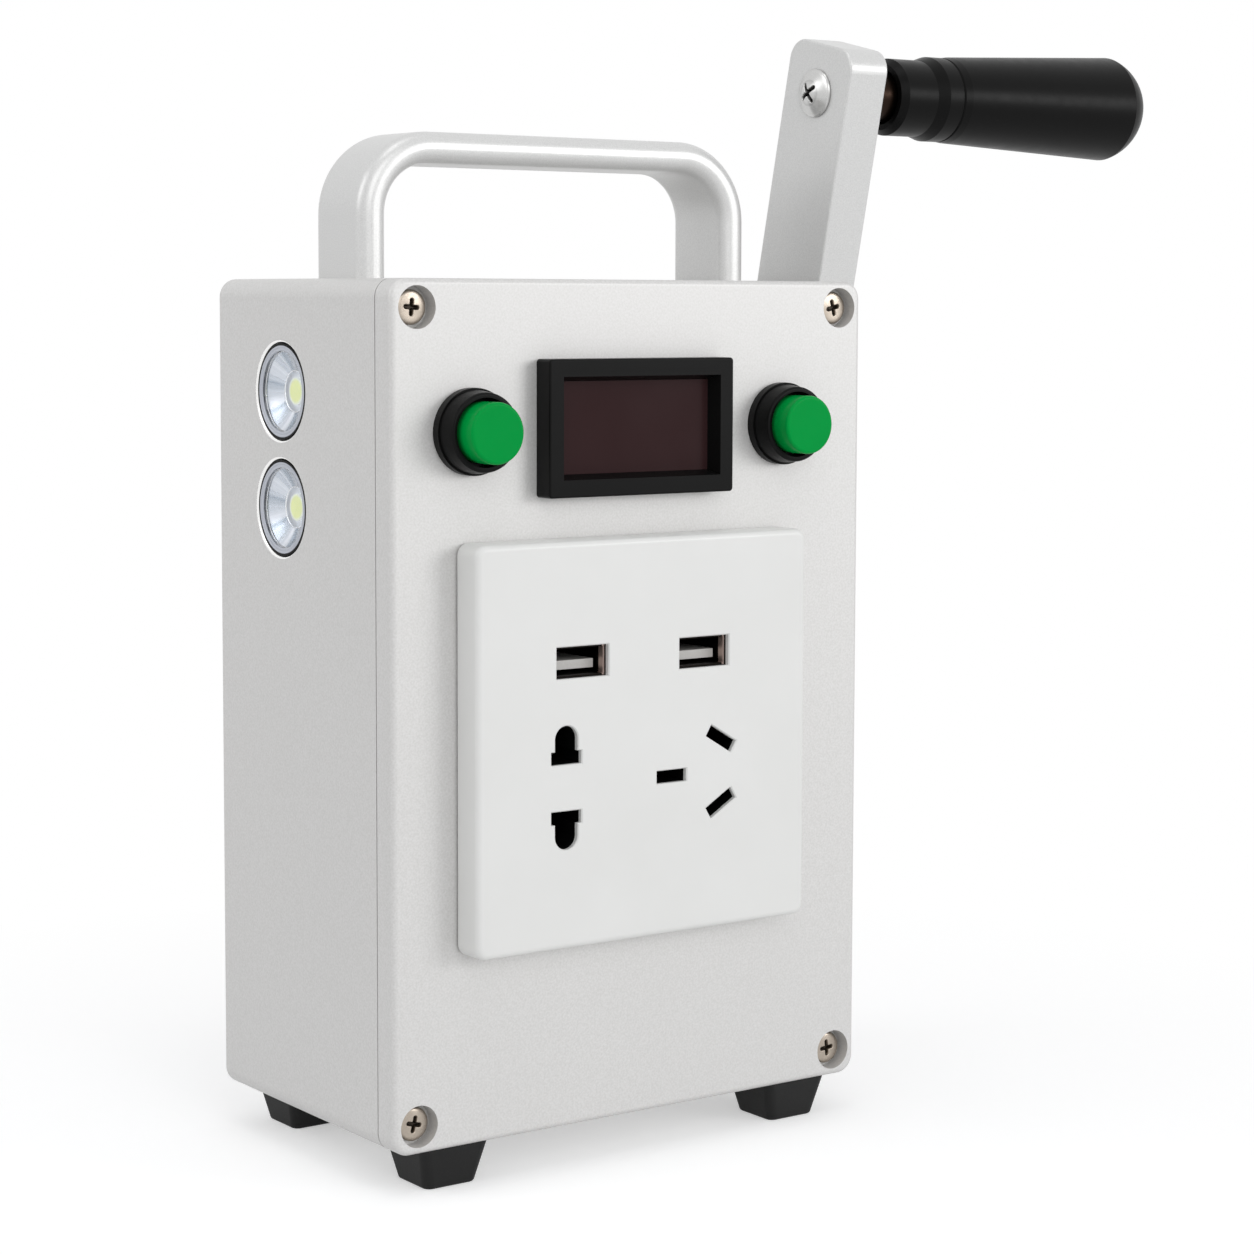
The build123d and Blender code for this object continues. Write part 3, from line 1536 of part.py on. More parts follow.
# The inverter board fills the space between the left wall and the generator's tail, and the
# charge board the one between the torches and the inner gear plate.
inverter_left = -inner_side_x + board_side_clearance
inverter_right = inner_plate_x - generator_length - generator_tab_length - board_side_clearance
inverter_width = inverter_right - inverter_left
inverter_x = (inverter_left + inverter_right) / 2
charger_left = torch_back_x + board_side_clearance
charger_right = inner_plate_x - board_side_clearance
charger_width = charger_right - charger_left
charger_x = (charger_left + charger_right) / 2
transformer_width = inverter_width - 2 * transformer_inset
capacitor_radius = capacitor_share * inverter_width
capacitor_spacing = inverter_width / 2 - capacitor_radius
sink_width = inverter_width - 2 * sink_inset
sink_fin_gap = sink_width / (2 * sink_fins)

board_points = board_corners(inverter_x, inverter_z, inverter_width, inverter_tall)
board_points += board_corners(charger_x, charger_z, charger_width, charger_tall)

with BuildPart() as board_standoffs:
    with BuildSketch(facing_front(0, inner_rear_y, 0)):
        with Locations(*board_points):
            Circle(board_standoff_radius)
    extrude(amount=board_standoff_length)
write(board_standoffs, "board_standoffs")

# Inverter board with a row of parts standing on it: transformer, capacitors and finned heat sink.
inverter_plane = facing_front(inverter_x, board_front_y, inverter_z)
with BuildPart() as inverter_board:
    with BuildSketch(facing_front(inverter_x, board_back_y, inverter_z)):
        Rectangle(inverter_width, inverter_tall)
    extrude(amount=board_thickness)
    with BuildSketch(inverter_plane):
        with Locations((0, inverter_tall / 2 - board_hole_inset - header_tall)):
            Rectangle(header_width, header_tall)
    extrude(amount=header_depth)
write(inverter_board, "inverter_board")

with BuildPart() as transformer:
    with BuildSketch(inverter_plane):
        with Locations((0, transformer_lift)):
            Rectangle(transformer_width, transformer_tall / 2)
    extrude(amount=transformer_depth)
    with BuildSketch(inverter_plane.offset(transformer_depth / 4)):
        with Locations((0, transformer_lift)):
            Rectangle(transformer_width - 2 * transformer_inset, transformer_tall)
    extrude(amount=transformer_depth / 2)
write(transformer, "transformer")

with BuildPart() as capacitors:
    with BuildSketch(inverter_plane):
        with Locations(
            (-capacitor_spacing / 2, capacitor_lift),
            (capacitor_spacing / 2, capacitor_lift),
        ):
            Circle(capacitor_radius)
    extrude(amount=capacitor_length)
write(capacitors, "capacitors")

with BuildPart() as heat_sink:
    with BuildSketch(inverter_plane):
        with Locations((0, sink_lift)):
            Rectangle(sink_width - sink_fin_gap, sink_tall)
    extrude(amount=sink_depth)
    with BuildSketch(inverter_plane.offset(sink_depth / 3)):
        with Locations((0, sink_lift)):
            with GridLocations(sink_width / sink_fins, 0, sink_fins - 1, 1):
                Rectangle(sink_fin_gap, sink_tall)
    extrude(amount=sink_depth, mode=Mode.SUBTRACT)
write(heat_sink, "heat_sink")

# Charge control board with a choke, a controller chip and a row of headers.
charger_header_z = charger_z - charger_tall / 2 + header_tall / 2
with BuildPart() as charge_board:
    with BuildSketch(facing_front(charger_x, board_back_y, charger_z)):
        Rectangle(charger_width, charger_tall)
    extrude(amount=board_thickness)
    with BuildSketch(facing_front(charger_x, board_front_y, charger_z)):
        with Locations((-charger_width / 4, charger_tall / 8)):
            Circle(coil_radius)
            Circle(coil_radius / 2, mode=Mode.SUBTRACT)
    extrude(amount=coil_height)
    with BuildSketch(facing_front(charger_x, board_front_y, charger_z)):
        with Locations((charger_width / 8, charger_tall / 8)):
            Rectangle(chip_size, chip_size)
    extrude(amount=chip_height)
    with BuildSketch(facing_front(charger_x, board_front_y, charger_header_z)):
        with GridLocations(header_pitch, 0, header_count, 1):
            Rectangle(header_width, header_tall)
    extrude(amount=header_depth)
write(charge_board, "charge_board")
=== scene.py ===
import json
import math

import bmesh
import bpy
from mathutils import Matrix, Vector


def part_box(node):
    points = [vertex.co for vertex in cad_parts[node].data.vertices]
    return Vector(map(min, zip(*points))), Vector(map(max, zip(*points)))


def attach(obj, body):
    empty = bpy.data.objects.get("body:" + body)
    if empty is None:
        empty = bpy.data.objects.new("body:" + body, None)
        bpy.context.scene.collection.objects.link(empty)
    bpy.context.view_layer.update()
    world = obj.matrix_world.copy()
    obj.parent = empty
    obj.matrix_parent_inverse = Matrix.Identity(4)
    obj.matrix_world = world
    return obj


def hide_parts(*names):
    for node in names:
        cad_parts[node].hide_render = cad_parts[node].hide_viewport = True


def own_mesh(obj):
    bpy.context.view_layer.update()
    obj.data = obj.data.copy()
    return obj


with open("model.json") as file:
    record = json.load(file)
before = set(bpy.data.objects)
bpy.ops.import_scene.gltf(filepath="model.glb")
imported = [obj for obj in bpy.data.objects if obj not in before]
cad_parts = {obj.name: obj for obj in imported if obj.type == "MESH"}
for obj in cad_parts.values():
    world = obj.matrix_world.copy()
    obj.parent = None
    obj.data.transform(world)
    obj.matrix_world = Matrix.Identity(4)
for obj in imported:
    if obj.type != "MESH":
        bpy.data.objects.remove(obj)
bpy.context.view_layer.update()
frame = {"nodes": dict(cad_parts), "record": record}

# ---------------------------------------------------------------- camera
# Fitted to the edges of the case, the socket plate and the meter in the photograph.
PHOTO_SIZE = 1254.0
FOCAL_PIXELS = 2964.16
PRINCIPAL = (647.41, 548.69)
SENSOR = 36.0
CAMERA_PLACE = Vector((-0.370572, -0.551596, 0.185579))
CAMERA_YAW = 0.6272613
CAMERA_PITCH = 0.0835176
CAMERA_ROLL = 0.0034439

camera_data = bpy.data.cameras.new("camera")
camera_data.sensor_width = SENSOR
camera_data.lens = SENSOR * FOCAL_PIXELS / PHOTO_SIZE
camera_data.shift_x = (PHOTO_SIZE / 2 - PRINCIPAL[0]) / PHOTO_SIZE
camera_data.shift_y = (PRINCIPAL[1] - PHOTO_SIZE / 2) / PHOTO_SIZE
camera_data.clip_start = 0.01
camera_data.clip_end = 50.0
camera = bpy.data.objects.new("camera", camera_data)
bpy.context.scene.collection.objects.link(camera)
forward = Vector(
    (
        math.sin(CAMERA_YAW) * math.cos(CAMERA_PITCH),
        math.cos(CAMERA_YAW) * math.cos(CAMERA_PITCH),
        -math.sin(CAMERA_PITCH),
    )
)
level_right = forward.cross(Vector((0, 0, 1))).normalized()
level_up = level_right.cross(forward)
right = level_right * math.cos(CAMERA_ROLL) + level_up * math.sin(CAMERA_ROLL)
up = level_up * math.cos(CAMERA_ROLL) - level_right * math.sin(CAMERA_ROLL)
camera.matrix_world = Matrix(
    (
        (right.x, up.x, -forward.x, CAMERA_PLACE.x),
        (right.y, up.y, -forward.y, CAMERA_PLACE.y),
        (right.z, up.z, -forward.z, CAMERA_PLACE.z),
        (0, 0, 0, 1),
    )
)
bpy.context.scene.camera = camera
bpy.context.scene.view_settings.view_transform = "Standard"


# ---------------------------------------------------------------- node helpers
def colour(code):
    """sRGB hex code to a linear colour with alpha."""
    parts = [int(code[i : i + 2], 16) / 255 for i in (1, 3, 5)]
    linear = [c / 12.92 if c <= 0.04045 else ((c + 0.055) / 1.055) ** 2.4 for c in parts]
    return (*linear, 1.0)


def add_node(tree, kind, inputs=None, **settings):
    """Adds a node, sets its properties, and fills its inputs with values or links."""
    node = tree.nodes.new(kind)
    for key, value in settings.items():
        setattr(node, key, value)
    for key, value in (inputs or {}).items():
        if isinstance(value, bpy.types.NodeSocket):
            tree.links.new(value, node.inputs[key])
        else:
            node.inputs[key].default_value = value
    return node


def surface(name, **sockets):
    """New material with one Principled shader, whose constant sockets are set here."""
    made = bpy.data.materials.new(name)
    made.use_nodes = True
    tree = made.node_tree
    tree.nodes.clear()
    shader = add_node(tree, "ShaderNodeBsdfPrincipled")
    for key, value in sockets.items():
        shader.inputs[key.replace("_", " ")].default_value = value
    output = add_node(tree, "ShaderNodeOutputMaterial")
    tree.links.new(shader.outputs[0], output.inputs[0])
    place = add_node(tree, "ShaderNodeTexCoord").outputs["Object"]
    return made, tree, shader, place


def grain(tree, place, size_mm, detail=2.0, stretch=(1, 1, 1)):
    """Noise whose features are about size_mm across, from 0 to 1."""
    scaled = place
    if stretch != (1, 1, 1):
        scaled = add_node(
            tree, "ShaderNodeMapping", {"Vector": place, "Scale": stretch}
        ).outputs[0]
    return add_node(
        tree,
        "ShaderNodeTexNoise",
        {"Vector": scaled, "Scale": 1000.0 / size_mm, "Detail": detail},
    ).outputs[0]


def spread(tree, value, low, high, into_low, into_high):
    """Maps a value from one range to another."""
    return add_node(
        tree,
        "ShaderNodeMapRange",
        {0: value, 1: low, 2: high, 3: into_low, 4: into_high},
    ).outputs[0]


def blend_colours(tree, factor, first, second):
    """Mix of two colours by a factor."""
    node = add_node(tree, "ShaderNodeMix", data_type="RGBA")
    for index, value in ((0, factor), (6, first), (7, second)):
        if isinstance(value, bpy.types.NodeSocket):
            tree.links.new(value, node.inputs[index])
        else:
            node.inputs[index].default_value = value
    return node.outputs[2]


def relief(tree, shader, height, distance_mm, strength=1.0):
    """Bump from a height of 0 to 1 that stands distance_mm proud."""
    bump = add_node(
        tree,
        "ShaderNodeBump",
        {"Height": height, "Distance": distance_mm / 1000.0, "Strength": strength},
    )
    tree.links.new(bump.outputs[0], shader.inputs["Normal"])
    return bump


def feed(tree, shader, key, socket):
    tree.links.new(socket, shader.inputs[key])


# ---------------------------------------------------------------- materials
def blasted(name, light, dark, rough, grain_mm, proud_mm, metallic):
    """Clear anodised aluminium over a fine bead blast: part metal, part milky skin, no shine."""
    made, tree, shader, place = surface(name, Metallic=metallic, Specular_IOR_Level=0.3)
    fine = grain(tree, place, grain_mm, 3.0)
    cloud = grain(tree, place, 45.0, 3.0)
    tone = spread(tree, fine, 0.3, 0.7, 0.0, 1.0)
    base = blend_colours(tree, tone, colour(dark), colour(light))
    shade = spread(tree, cloud, 0.35, 0.65, 0.0, 0.12)
    feed(tree, shader, "Base Color", blend_colours(tree, shade, base, colour(dark)))
    feed(tree, shader, "Roughness", spread(tree, fine, 0.2, 0.8, rough - 0.06, rough + 0.06))
    relief(tree, shader, fine, proud_mm)
    return made


def plastic(name, base, rough, grain_mm, proud_mm, variation="#000000", amount=0.06, **more):
    """Moulded plastic or rubber with a fine skin and a slow change of tone."""
    made, tree, shader, place = surface(name, **more)
    fine = grain(tree, place, grain_mm, 2.0)
    slow = grain(tree, place, 18.0, 2.0)
    shade = spread(tree, slow, 0.3, 0.7, 0.0, amount)
    feed(tree, shader, "Base Color", blend_colours(tree, shade, colour(base), colour(variation)))
    feed(tree, shader, "Roughness", spread(tree, fine, 0.2, 0.8, rough - 0.04, rough + 0.04))
    relief(tree, shader, fine, proud_mm)
    return made


def worked_steel(name, base, rough, stretch, size_mm, proud_mm, worn="#5d5a55"):
    """Machined metal with fine tool marks that run across the stretched direction."""
    made, tree, shader, place = surface(name, Metallic=1.0)
    marks = grain(tree, place, size_mm, 3.0, stretch)
    slow = grain(tree, place, 9.0, 2.0)
    tone = spread(tree, slow, 0.3, 0.7, 0.0, 0.25)
    feed(tree, shader, "Base Color", blend_colours(tree, tone, colour(base), colour(worn)))
    feed(tree, shader, "Roughness", spread(tree, marks, 0.2, 0.8, rough - 0.07, rough + 0.07))
    relief(tree, shader, marks, proud_mm)
    return made


def smoked_acrylic(name):
    """Dark red-brown display window with a polished skin."""
    made, tree, shader, place = surface(name, Specular_IOR_Level=0.06)
    slow = grain(tree, place, 12.0, 1.0)
    tone = spread(tree, slow, 0.3, 0.7, 0.0, 0.3)
    skin = blend_colours(tree, tone, colour("#352223"), colour("#3b292a"))
    feed(tree, shader, "Base Color", skin)
    feed(tree, shader, "Roughness", spread(tree, slow, 0.2, 0.8, 0.14, 0.2))
    return made


def clear_plastic(name):
    """Clear moulded polycarbonate, with the faint unevenness of its mould."""
    made, tree, shader, place = surface(name, IOR=1.49, Transmission_Weight=1.0)
    fine = grain(tree, place, 1.5, 1.0)
    feed(tree, shader, "Roughness", spread(tree, fine, 0.2, 0.8, 0.0, 0.03))
    skin = blend_colours(tree, fine, colour("#ffffff"), colour("#fafcfe"))
    feed(tree, shader, "Base Color", skin)
    return made


def part_of(tree, place, axis):
    """One coordinate of a place, 0 for X to 2 for Z."""
    return add_node(tree, "ShaderNodeSeparateXYZ", {0: place}).outputs[axis]


def sum_up(tree, first, second, kind="ADD"):
    """One step of arithmetic."""
    return add_node(tree, "ShaderNodeMath", {0: first, 1: second}, operation=kind).outputs[0]


def turned_nickel(name, axis, face_mm, depth_mm, reach_mm, base, shaded):
    """Nickel-plated head turned on a lathe, with painted shade darkening its cross recess towards
    the bottom.
    """
    made, tree, shader, place = surface(name, Metallic=1.0, Anisotropic=0.7)
    lathe = add_node(tree, "ShaderNodeTangent", direction_type="UV_MAP", uv_map=TURN_MAP)
    feed(tree, shader, "Tangent", lathe.outputs[0])
    fine = grain(tree, place, 0.5, 2.0)
    start = (face_mm + depth_mm * 0.2) / 1000.0
    painted_shade_by_depth = spread(
        tree, part_of(tree, place, axis), start, (face_mm + depth_mm) / 1000.0, 0.0, 1.0
    )
    turned_at = add_node(tree, "ShaderNodeUVMap", uv_map=TURN_MAP).outputs[0]
    painted_shade_reach = spread(tree, part_of(tree, turned_at, 0), reach_mm, reach_mm * 1.08, 1.0, 0.0)
    # Painted shade: inside the recess radius the base turns dark brown the deeper it goes,
    # standing in for the shade there.
    sunk = sum_up(tree, painted_shade_by_depth, painted_shade_reach, "MULTIPLY")
    skin = blend_colours(tree, fine, colour(base), colour(shaded))
    feed(tree, shader, "Base Color", blend_colours(tree, sunk, skin, colour("#1d1814")))
    feed(tree, shader, "Roughness", spread(tree, fine, 0.2, 0.8, 0.26, 0.32))
    return made


def round_torch(tree, place):
    """Place about the axis of whichever torch is nearer, with X as depth."""
    across = sum_up(tree, part_of(tree, place, 1), -TORCH_Y)
    half = TORCH_SPACING / 2
    wrapped = add_node(
        tree,
        "ShaderNodeMath",
        {0: sum_up(tree, part_of(tree, place, 2), -TORCH_LOW_Z), 1: half, 2: -half},
        operation="WRAP",
    ).outputs[0]
    return add_node(tree, "ShaderNodeCombineXYZ", {1: across, 2: wrapped}).outputs[0]


def metallised_cup(name):
    """Vacuum-metallised plastic cone: a bluish mirror whose soft sectors of light and dark
    reflection are painted into its colour by bearing round the axis.
    """
    made, tree, shader, place = surface(name, Metallic=1.0)
    centred = round_torch(tree, place)
    heading = add_node(
        tree, "ShaderNodeVectorMath", {0: centred}, operation="NORMALIZE"
    ).outputs[0]
    # Painted reflection: light and dark sectors by bearing round the torch's axis, put into the
    # base colour.
    painted_reflection_bands = add_node(
        tree, "ShaderNodeTexNoise", {"Vector": heading, "Scale": 2.3, "Detail": 3.0}
    ).outputs[0]
    tone = spread(tree, painted_reflection_bands, 0.36, 0.64, 0.0, 1.0)
    skin = blend_colours(tree, tone, colour("#8e9cac"), colour("#eef1f8"))
    feed(tree, shader, "Base Color", skin)
    feed(tree, shader, "Roughness", spread(tree, painted_reflection_bands, 0.2, 0.8, 0.2, 0.34))
    return made


def phosphor_board(name):
    """White resist round a round yellow-green phosphor; the whole board has a faint painted glow
    in its own colour, brighter than it is lit.
    """
    made, tree, shader, place = surface(name, Emission_Strength=0.3)
    centred = round_torch(tree, place)
    out = add_node(
        tree, "ShaderNodeVectorMath", {0: centred}, operation="LENGTH"
    ).outputs["Value"]
    fine = grain(tree, place, 0.5, 2.0)
    edge = spread(tree, out, PHOSPHOR_RADIUS * 0.72, PHOSPHOR_RADIUS * 1.04, 0.0, 1.0)
    core = blend_colours(tree, fine, colour("#e4ee90"), colour("#eef5ac"))
    tone = blend_colours(tree, edge, core, colour("#e9eef6"))
    feed(tree, shader, "Base Color", tone)
    # Painted glow: the board emits its own colour at strength 0.3, resist and phosphor alike.
    feed(tree, shader, "Emission Color", tone)
    feed(tree, shader, "Roughness", spread(tree, fine, 0.2, 0.8, 0.3, 0.4))
    return made


def usb_metal_and_tongue(name):
    """Tin shells painted dark as shade inside each port, their own pinkish metal shown only at
    the mouth of the right wall, round a pale moulded tongue.
    """
    made, tree, shader, place = surface(name, Specular_IOR_Level=0.3)
    fine = grain(tree, place, 0.5, 2.0)
    up = part_of(tree, place, 2)
    depth = part_of(tree, place, 1)
    from_middle = sum_up(tree, sum_up(tree, up, -USB_TONGUE_Z), 0.0, "ABSOLUTE")
    across = add_node(
        tree,
        "ShaderNodeMath",
        {
            0: sum_up(tree, part_of(tree, place, 0), -USB_LEFT_X),
            1: USB_SPACING / 2,
            2: -USB_SPACING / 2,
        },
        operation="WRAP",
    ).outputs[0]
    sideways = sum_up(tree, across, 0.0, "ABSOLUTE")
    thick = sum_up(tree, from_middle, USB_TONGUE_HALF, "LESS_THAN")
    wide = sum_up(tree, sideways, USB_TONGUE_REACH, "LESS_THAN")
    tongue = sum_up(tree, thick, wide, "MULTIPLY")
    # Painted shade: the shell is dark brown everywhere except a strip at the mouth of the right
    # wall.
    mouth = sum_up(tree, depth, USB_MOUTH_Y + 0.0016, "LESS_THAN")
    bright_wall = sum_up(tree, across, USB_BRIGHT_WALL, "GREATER_THAN")
    clear_of_painted_shade = sum_up(tree, mouth, bright_wall, "MULTIPLY")
    shell_with_painted_shade = blend_colours(tree, clear_of_painted_shade, colour("#120d0b"), colour("#d3bcb2"))
    pale = blend_colours(tree, fine, colour("#dcdad6"), colour("#cfcdc9"))
    feed(tree, shader, "Base Color", blend_colours(tree, tongue, shell_with_painted_shade, pale))
    feed(tree, shader, "Metallic", spread(tree, tongue, 0.0, 1.0, 0.8, 0.0))
    feed(tree, shader, "Roughness", spread(tree, fine, 0.2, 0.8, 0.34, 0.44))
    return made


TURN_MAP = "turn"
TORCH_Y = 0.009
TORCH_SPACING = 0.025
TORCH_LOW_Z = 0.1409
PHOSPHOR_RADIUS = 0.003
USB_LEFT_X = -0.0198
USB_SPACING = 0.0318
USB_MOUTH_Y = -0.0434
USB_TONGUE_Z = 0.10925
USB_TONGUE_HALF = 0.001
USB_TONGUE_REACH = 0.0056
USB_BRIGHT_WALL = 0.0059

MATERIALS = {
    "bead_blasted_aluminium": blasted(
        "bead_blasted_aluminium", "#e0dfde", "#d3d2d0", 0.46, 0.45, 0.01, 0.3
    ),
    "satin_aluminium": blasted("satin_aluminium", "#e0e0df", "#d2d2d1", 0.34, 0.3, 0.006, 0.34),
    "rubber_black": plastic(
        "moulded_rubber", "#161616", 0.6, 0.4, 0.012, "#242424", 0.3, Specular_IOR_Level=0.25
    ),
    "nickel_steel": worked_steel("nickel_plated_steel", "#c9c2b8", 0.24, (1, 1, 6), 0.5, 0.003),
    "ground_steel": worked_steel("ground_steel", "#b4b4b4", 0.3, (6, 1, 1), 0.4, 0.003),
    "blackened_steel": worked_steel(
        "blackened_steel", "#2c211b", 0.34, (1, 6, 1), 0.5, 0.004, "#120d0a"
    ),
    "spring_steel": worked_steel("spring_steel", "#9d9fa1", 0.3, (1, 8, 1), 0.4, 0.01),
    "sintered_bronze": worked_steel("sintered_bronze", "#a9793f", 0.45, (1, 1, 1), 0.3, 0.01),
    "zinc_steel": worked_steel("zinc_plated_steel", "#c3c6c8", 0.3, (1, 1, 3), 1.5, 0.004),
    "laminated_steel": worked_steel("laminated_steel", "#6f6a66", 0.5, (20, 1, 1), 0.5, 0.03),
    "ferrite": plastic("sintered_ferrite", "#2a2827", 0.7, 0.3, 0.02, "#3b3836", 0.4),
    "black_plastic": plastic(
        "black_moulded_plastic",
        "#0d0d0d",
        0.34,
        0.35,
        0.003,
        "#161616",
        0.3,
        Specular_IOR_Level=0.09,
    ),
    "grip_plastic": plastic(
        "polished_black_plastic",
        "#060606",
        0.34,
        2.5,
        0.001,
        "#0b0b0b",
        0.3,
        Specular_IOR_Level=0.1,
    ),
    "green_plastic": plastic(
        "green_moulded_plastic",
        "#009d43",
        0.2,
        2.0,
        0.001,
        "#008a3a",
        0.3,
        Specular_IOR_Level=0.05,
    ),
    "white_plastic": plastic(
        "white_moulded_plastic", "#eeeeec", 0.34, 1.5, 0.001, "#e5e5e2", 0.3
    ),
    "smoked_window": smoked_acrylic("smoked_acrylic"),
    "clear_lens": clear_plastic("clear_polycarbonate"),
    "mirror_coat": metallised_cup("vacuum_metallised_cup"),
    "torch_led_board": phosphor_board("phosphor_on_white_resist"),
    "contact_brass": worked_steel("contact_brass", "#c79f52", 0.3, (1, 1, 5), 0.6, 0.004),
    "circuit_board": plastic("green_circuit_board", "#0d5a2b", 0.42, 0.8, 0.01, "#0a3d1e", 0.6),
    "cell_sleeve": plastic("shrunk_cell_sleeve", "#2a6fb0", 0.3, 1.2, 0.01, "#1f5b95", 0.4),
    "capacitor_sleeve": plastic("capacitor_sleeve", "#17171d", 0.32, 1.0, 0.006, "#2a2a35", 0.4),
}
OWN_FINISHES = {
    "usb_module": usb_metal_and_tongue("tin_plate_and_moulded_tongue"),
    # Brass cups that no light reaches, painted dark as shade.
    "socket_contacts": worked_steel(
        "brass_painted_dark_as_shade", "#2b2218", 0.5, (1, 1, 5), 0.6, 0.004, "#0e0b08"
    ),
}


def dress(piece, finish):
    """Gives a piece one material in place of any that it has."""
    piece.data.materials.clear()
    piece.data.materials.append(finish)


for entry in frame["record"]["subparts"]:
    name = entry["node"]
    dress(frame["nodes"][name], OWN_FINISHES.get(name, MATERIALS[entry["material_slot"]]))


# ---------------------------------------------------------------- turned pieces
MM = 0.001
FACING_FRONT = (Vector((1, 0, 0)), Vector((0, 0, 1)), Vector((0, -1, 0)))
FACING_LEFT = (Vector((0, -1, 0)), Vector((0, 0, 1)), Vector((-1, 0, 0)))


def set_down(piece, mesh, place, facing):
    """Adds a shape made in mm about the origin to a mesh, at its place and facing its way."""
    across, up_wall, outwards = facing
    layout = Matrix.Identity(4)
    for row in range(3):
        layout[row] = (
            across[row] * MM, up_wall[row] * MM, outwards[row] * MM, place[row]
        )
    bmesh.ops.transform(piece, matrix=layout, verts=piece.verts)
    piece.from_mesh(mesh)
    piece.to_mesh(mesh)
    piece.free()


def turn(mesh, profile, place, facing, steps, shape=None):
    """Spins a profile of (radius, height) in mm, and lowers its points by what shape says."""
    piece = bmesh.new()
    points = [piece.verts.new((radius, 0.0, height)) for radius, height in profile]
    lines = [piece.edges.new(pair) for pair in zip(points, points[1:])]
    bmesh.ops.spin(
        piece,
        geom=points + lines,
        cent=(0, 0, 0),
        axis=(0, 0, 1),
        angle=2 * math.pi,
        steps=steps,
        use_merge=True,
    )
    bmesh.ops.remove_doubles(piece, verts=piece.verts, dist=0.001)
    bmesh.ops.recalc_face_normals(piece, faces=piece.faces)
    turn_map = piece.loops.layers.uv.new(TURN_MAP)
    for face in piece.faces:
        face.smooth = True
        middle = face.calc_center_median()
        heading = math.atan2(middle.y, middle.x)
        for loop in face.loops:
            spot = loop.vert.co
            out = math.hypot(spot.x, spot.y)
            bearing = math.atan2(spot.y, spot.x) if out > 0.01 else heading
            swing = math.remainder(bearing - heading, 2 * math.pi)
            loop[turn_map].uv = (out, heading + swing)
    if shape:
        for point in piece.verts:
            point.co.z -= shape(point.co)
    set_down(piece, mesh, place, facing)


def finish_piece(mesh, name, finish, body, stands_for=()):
    """Puts a mesh in the scene, dressed, riding on its body, in place of CAD nodes if any."""
    piece = bpy.data.objects.new(name, mesh)
    bpy.context.scene.collection.objects.link(piece)
    dress(piece, finish)
    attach(piece, body)
    for node in stands_for:
        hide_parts(node)
    return piece


def cross_recess(reach, lobe, depth, quarter_turn, head_face):
    """Four rounded lobes sunk in the middle of a head, deepest where they meet."""

    def sink(spot):
        if spot.z < head_face:
            return 0.0
        away = math.hypot(spot.x, spot.y) - 1.5 * lobe
        for quarter in range(4):
            heading = quarter_turn + quarter * math.pi / 2
            east, north = math.cos(heading), math.sin(heading)
            along = min(max(spot.x * east + spot.y * north, 0.0), reach)
            away = min(away, math.hypot(spot.x - along * east, spot.y - along * north) - lobe)
        inside = min(max(-away / (0.75 * lobe), 0.0), 1.0)
        return depth * inside * inside * (3 - 2 * inside)

    return sink


def head_profile(crown, fine_to, rim):
    """Profile of a head: close rings over the recess, then its rim and shank."""
    rings = 34
    return [(fine_to * i / rings, crown(fine_to * i / rings)) for i in range(rings + 1)] + rim


# Flat heads of the cover screws, sunk in the four corners of the panel.
screw_low, screw_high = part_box("cover_screws")
HEAD_RADIUS = 3.6
SEAT_DEPTH = 2.2
HEAD_HEIGHT = 1.75
flat_seat = screw_low.y + SEAT_DEPTH * MM
flat_top = flat_seat - HEAD_HEIGHT * MM
flat_head = head_profile(
    lambda radius: HEAD_HEIGHT - 0.012 * radius * radius,
    2.5,
    [(2.9, 1.64), (3.2, 1.58), (3.45, 1.42), (3.6, 1.15), (3.6, 0.0), (2.0, 0.0), (2.0, -13.6),
     (1.6, -14.0), (0.0, -14.0)],
)
flat_heads = bpy.data.meshes.new("cover_screw_heads")
corners = [
    (x, z)
    for x in (screw_low.x + HEAD_RADIUS * MM, screw_high.x - HEAD_RADIUS * MM)
    for z in (screw_low.z + HEAD_RADIUS * MM, screw_high.z - HEAD_RADIUS * MM)
]
for corner, (x, z) in enumerate(corners):
    turn(
        flat_heads,
        flat_head,
        (x, flat_seat, z),
        FACING_FRONT,
        112,
        cross_recess(1.38, 0.55, 1.15, 0.16 * (corner - 1.5), 1.4),
    )
finish_piece(
    flat_heads,
    "cover_screw_heads",
    turned_nickel("turned_nickel_flat_head", 1, flat_top / MM, 1.2, 2.4, "#b3a99d", "#a69b8f"),
    "case",
    ["cover_screws"],
)

# Truss head of the screw that holds the grip: a cone with a soft top and a thin brim.
arm_screw_low, arm_screw_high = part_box("grip_screw")
truss_middle = (arm_screw_low + arm_screw_high) / 2
truss_height = 2.8
truss_shank = (arm_screw_high.x - arm_screw_low.x) / MM - truss_height
truss_head = head_profile(
    lambda radius: 0.85 + 1.95 * (1 - (radius / 5.1) ** 1.8),
    3.2,
    [(r, 0.85 + 1.95 * (1 - (r / 5.1) ** 1.8)) for r in (3.6, 4.0, 4.4, 4.8)]
    + [(5.05, 0.92), (5.3, 0.84), (5.5, 0.7), (5.6, 0.45), (5.6, 0.0), (3.0, 0.0),
       (3.0, -truss_shank), (0.0, -truss_shank)],
)
truss = bpy.data.meshes.new("grip_screw_head")
turn(
    truss,
    truss_head,
    (arm_screw_low.x + truss_height * MM, truss_middle.y, truss_middle.z),
    FACING_LEFT,
    144,
    cross_recess(2.1, 0.6, 1.9, 0.55, 1.2),
)
